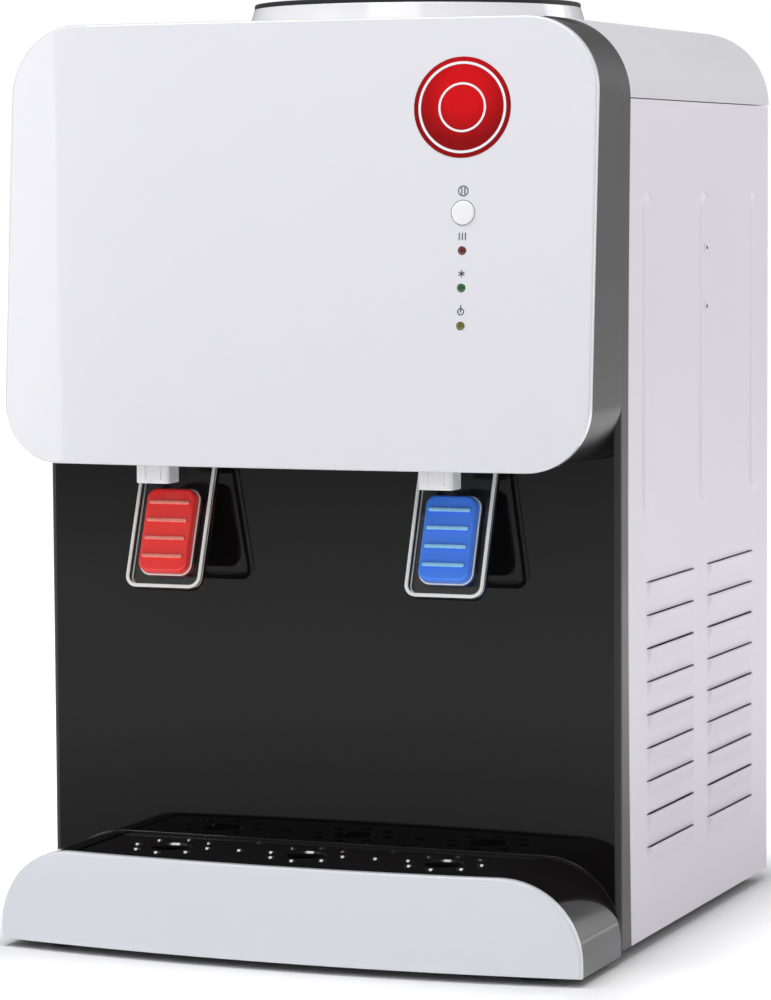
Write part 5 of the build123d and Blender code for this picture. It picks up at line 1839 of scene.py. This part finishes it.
@dataclass
class Studio:
    """Camera, floor and soft light, in metres."""

    camera_place: tuple[float, float, float] = (0.7309, -1.85035, 0.3712)
    azimuth: float = radians(21.7429)
    elevation: float = radians(4.579)
    roll: float = radians(-0.3466)
    lens: float = 141.0
    sensor: float = 36.0
    aim: tuple[float, float, float] = (0, 0, 0.24)
    world_light: float = 0.33
    world_seen: float = 1.0
    floor_size: float = 40.0
    floor_tints: tuple[Colour, Colour] = ((0.90, 0.90, 0.91), (0.92, 0.92, 0.93))
    floor_drift: float = 3.0
    floor_rough: float = 0.6
    floor_dim_reach: float = 1.4
    floor_fade_reach: float = 8.0
    floor_glow: float = 0.72
    floor_near_glow: float = 0.1
    footprint: tuple[float, float] = (0.15, 0.165)
    white_reach: float = 0.1
    white_glow: float = 0.75

    def build(self) -> None:
        """Set up the camera, the floor and the light."""
        self.camera()
        self.floor()
        self.world()
        self.lights()
        bpy.context.scene.view_settings.view_transform = "Standard"

    def camera(self) -> None:
        """Place the camera where the photograph was taken from."""
        turn, rise = self.azimuth, self.elevation
        back = Vector((sin(turn) * cos(rise), -cos(turn) * cos(rise), sin(rise)))
        right = Vector((cos(turn), sin(turn), 0))
        up = back.cross(right)
        c, s = cos(self.roll), sin(self.roll)
        columns = (c * right + s * up, -s * right + c * up, back)
        matrix = Matrix(columns).transposed().to_4x4()
        matrix.translation = Vector(self.camera_place)
        data = bpy.data.cameras.new("camera")
        data.lens = self.lens
        data.sensor_width = self.sensor
        data.sensor_fit = "AUTO"
        holder = placed("camera", data)
        holder.matrix_world = matrix
        bpy.context.scene.camera = holder

    def floor(self) -> None:
        """Lay a pale floor that looks white to the camera without lighting the object more, with painted
        shade under and round the object, where it does not glow for the camera.
        """
        bm = bmesh.new()
        bmesh.ops.create_grid(bm, x_segments=1, y_segments=1, size=self.floor_size / 2)
        mesh = baked(bm, "floor")
        graph = Graph("floor")
        shade = graph.spread(graph.noise(self.floor_drift), 0.0, 1.0)
        graph.join(graph.blend(shade, *self.floor_tints), graph.shader.inputs["Base Color"])
        graph.shader.inputs["Roughness"].default_value = self.floor_rough
        graph.shader.inputs["Emission Color"].default_value = (1, 1, 1, 1)
        near = graph.ball((0, 0, 0), self.floor_dim_reach)
        far = graph.ball((0, 0, 0), self.floor_fade_reach)
        glow = graph.add("ShaderNodeMath")
        glow.operation = "MULTIPLY"
        graph.join(graph.spread(near, self.floor_glow, self.floor_near_glow), glow.inputs[0])
        graph.join(graph.spread(far, 0.0, 1.0), glow.inputs[1])
        either = graph.add("ShaderNodeMix")
        graph.join(graph.add("ShaderNodeLightPath").outputs["Is Camera Ray"], either.inputs["Factor"])
        graph.join(glow.outputs["Value"], either.inputs["A"])
        # For the camera the floor glows only away from the object: painted shade under and round it, over
        # its real shadow.
        graph.join(self.glow_outside_painted_shade(graph), either.inputs["B"])
        graph.join(either.outputs["Result"], graph.shader.inputs["Emission Strength"])
        mesh.materials.append(graph.material)
        floor = placed("floor", mesh)

    def glow_outside_painted_shade(self, graph: Graph) -> Socket:
        """Give the floor's whiteness for the camera: none below the object, full a little way outside its
        footprint, which leaves painted shade under and round the object where only its real lighting
        shows.
        """
        away = graph.place
        nothing = (0, 0, 0)
        beside = (*self.footprint, 0)
        steps = {"ABSOLUTE": nothing, "SUBTRACT": beside, "MAXIMUM": nothing, "LENGTH": nothing}
        for operation, other in steps.items():
            node = graph.add("ShaderNodeVectorMath")
            node.operation = operation
            node.inputs[1].default_value = other
            graph.join(away, node.inputs[0])
            away = node.outputs["Value" if operation == "LENGTH" else "Vector"]
        ramp = graph.add("ShaderNodeMapRange")
        ramp.inputs["From Max"].default_value = self.white_reach
        ramp.inputs["To Max"].default_value = self.white_glow
        graph.join(away, ramp.inputs["Value"])
        return ramp.outputs["Result"]

    def world(self) -> None:
        """Surround the object with plain pale light, and a white ground to be seen against."""
        world = bpy.data.worlds.new("studio")
        world.use_nodes = True
        tree = world.node_tree
        tree.nodes.clear()
        output = tree.nodes.new("ShaderNodeOutputWorld")
        mix = tree.nodes.new("ShaderNodeMixShader")
        path = tree.nodes.new("ShaderNodeLightPath")
        for i, strength in enumerate((self.world_light, self.world_seen)):
            plain = tree.nodes.new("ShaderNodeBackground")
            plain.inputs["Color"].default_value = (1, 1, 1, 1)
            plain.inputs["Strength"].default_value = strength
            tree.links.new(plain.outputs[0], mix.inputs[1 + i])
        tree.links.new(path.outputs["Is Camera Ray"], mix.inputs[0])
        tree.links.new(mix.outputs[0], output.inputs["Surface"])
        bpy.context.scene.world = world

    def lights(self) -> None:
        """Hang every softbox, turned to the object."""
        for box in SOFTBOXES:
            data = bpy.data.lights.new(box.name, "AREA")
            data.shape = "RECTANGLE"
            data.size, data.size_y = box.size
            data.energy = box.power
            light = placed(box.name, data)
            light.location = box.place
            turn = (Vector(self.aim) - Vector(box.place)).to_track_quat("-Z", "Y").to_matrix()
            light.rotation_euler = (turn @ Matrix.Rotation(box.roll, 3, "Z")).to_euler()


def main() -> None:
    logging.basicConfig(level=logging.INFO, format="%(message)s")
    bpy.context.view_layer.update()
    paints = Paintbox()
    paints.dress_nodes()
    control_x, button_rise, lean = 88.0, 121.1, radians(4.44)
    lamp_rises = {"heating": 103.5, "cooling": 86.1, "power": 68.4}
    foot = Box.of("control_fascia").low.z
    button_hole, lamp_hole = 5.95, 2.1
    places = [(button_rise, button_hole)] + [(rise, lamp_hole) for rise in lamp_rises.values()]
    holes = tuple((control_x, foot + rise * cos(lean), radius) for rise, radius in places)
    control = Fascia(
        paints, "control_fascia", bow=7.0, top_radius=35.0, foot_radius=30.0, lean=lean, holes=holes
    )
    tray = Fascia(paints, "tray_fascia", bow=12.0, top_radius=39.0, foot_radius=0.0, finish=TRAY_WHITE)
    parts = [
        control,
        tray,
        FrontFrame(paints),
        HeadShell(paints, control),
        SidePanel(paints, Side.LEFT),
        SidePanel(paints, Side.RIGHT),
        TopCover(paints),
        BottleMouth(paints),
        Tap(paints, Water.HOT, -TAP_X),
        Tap(paints, Water.COLD, TAP_X),
        DripStation(paints, tray),
        CaseScrews(paints),
        CordGland(paints),
        Controls(paints, control, control_x, button_rise, lamp_rises),
        SmoothCopies(paints, SOFT_EDGES),
    ]
    for part in parts:
        part.build()
    Studio().build()


if __name__ == "__main__":
    main()
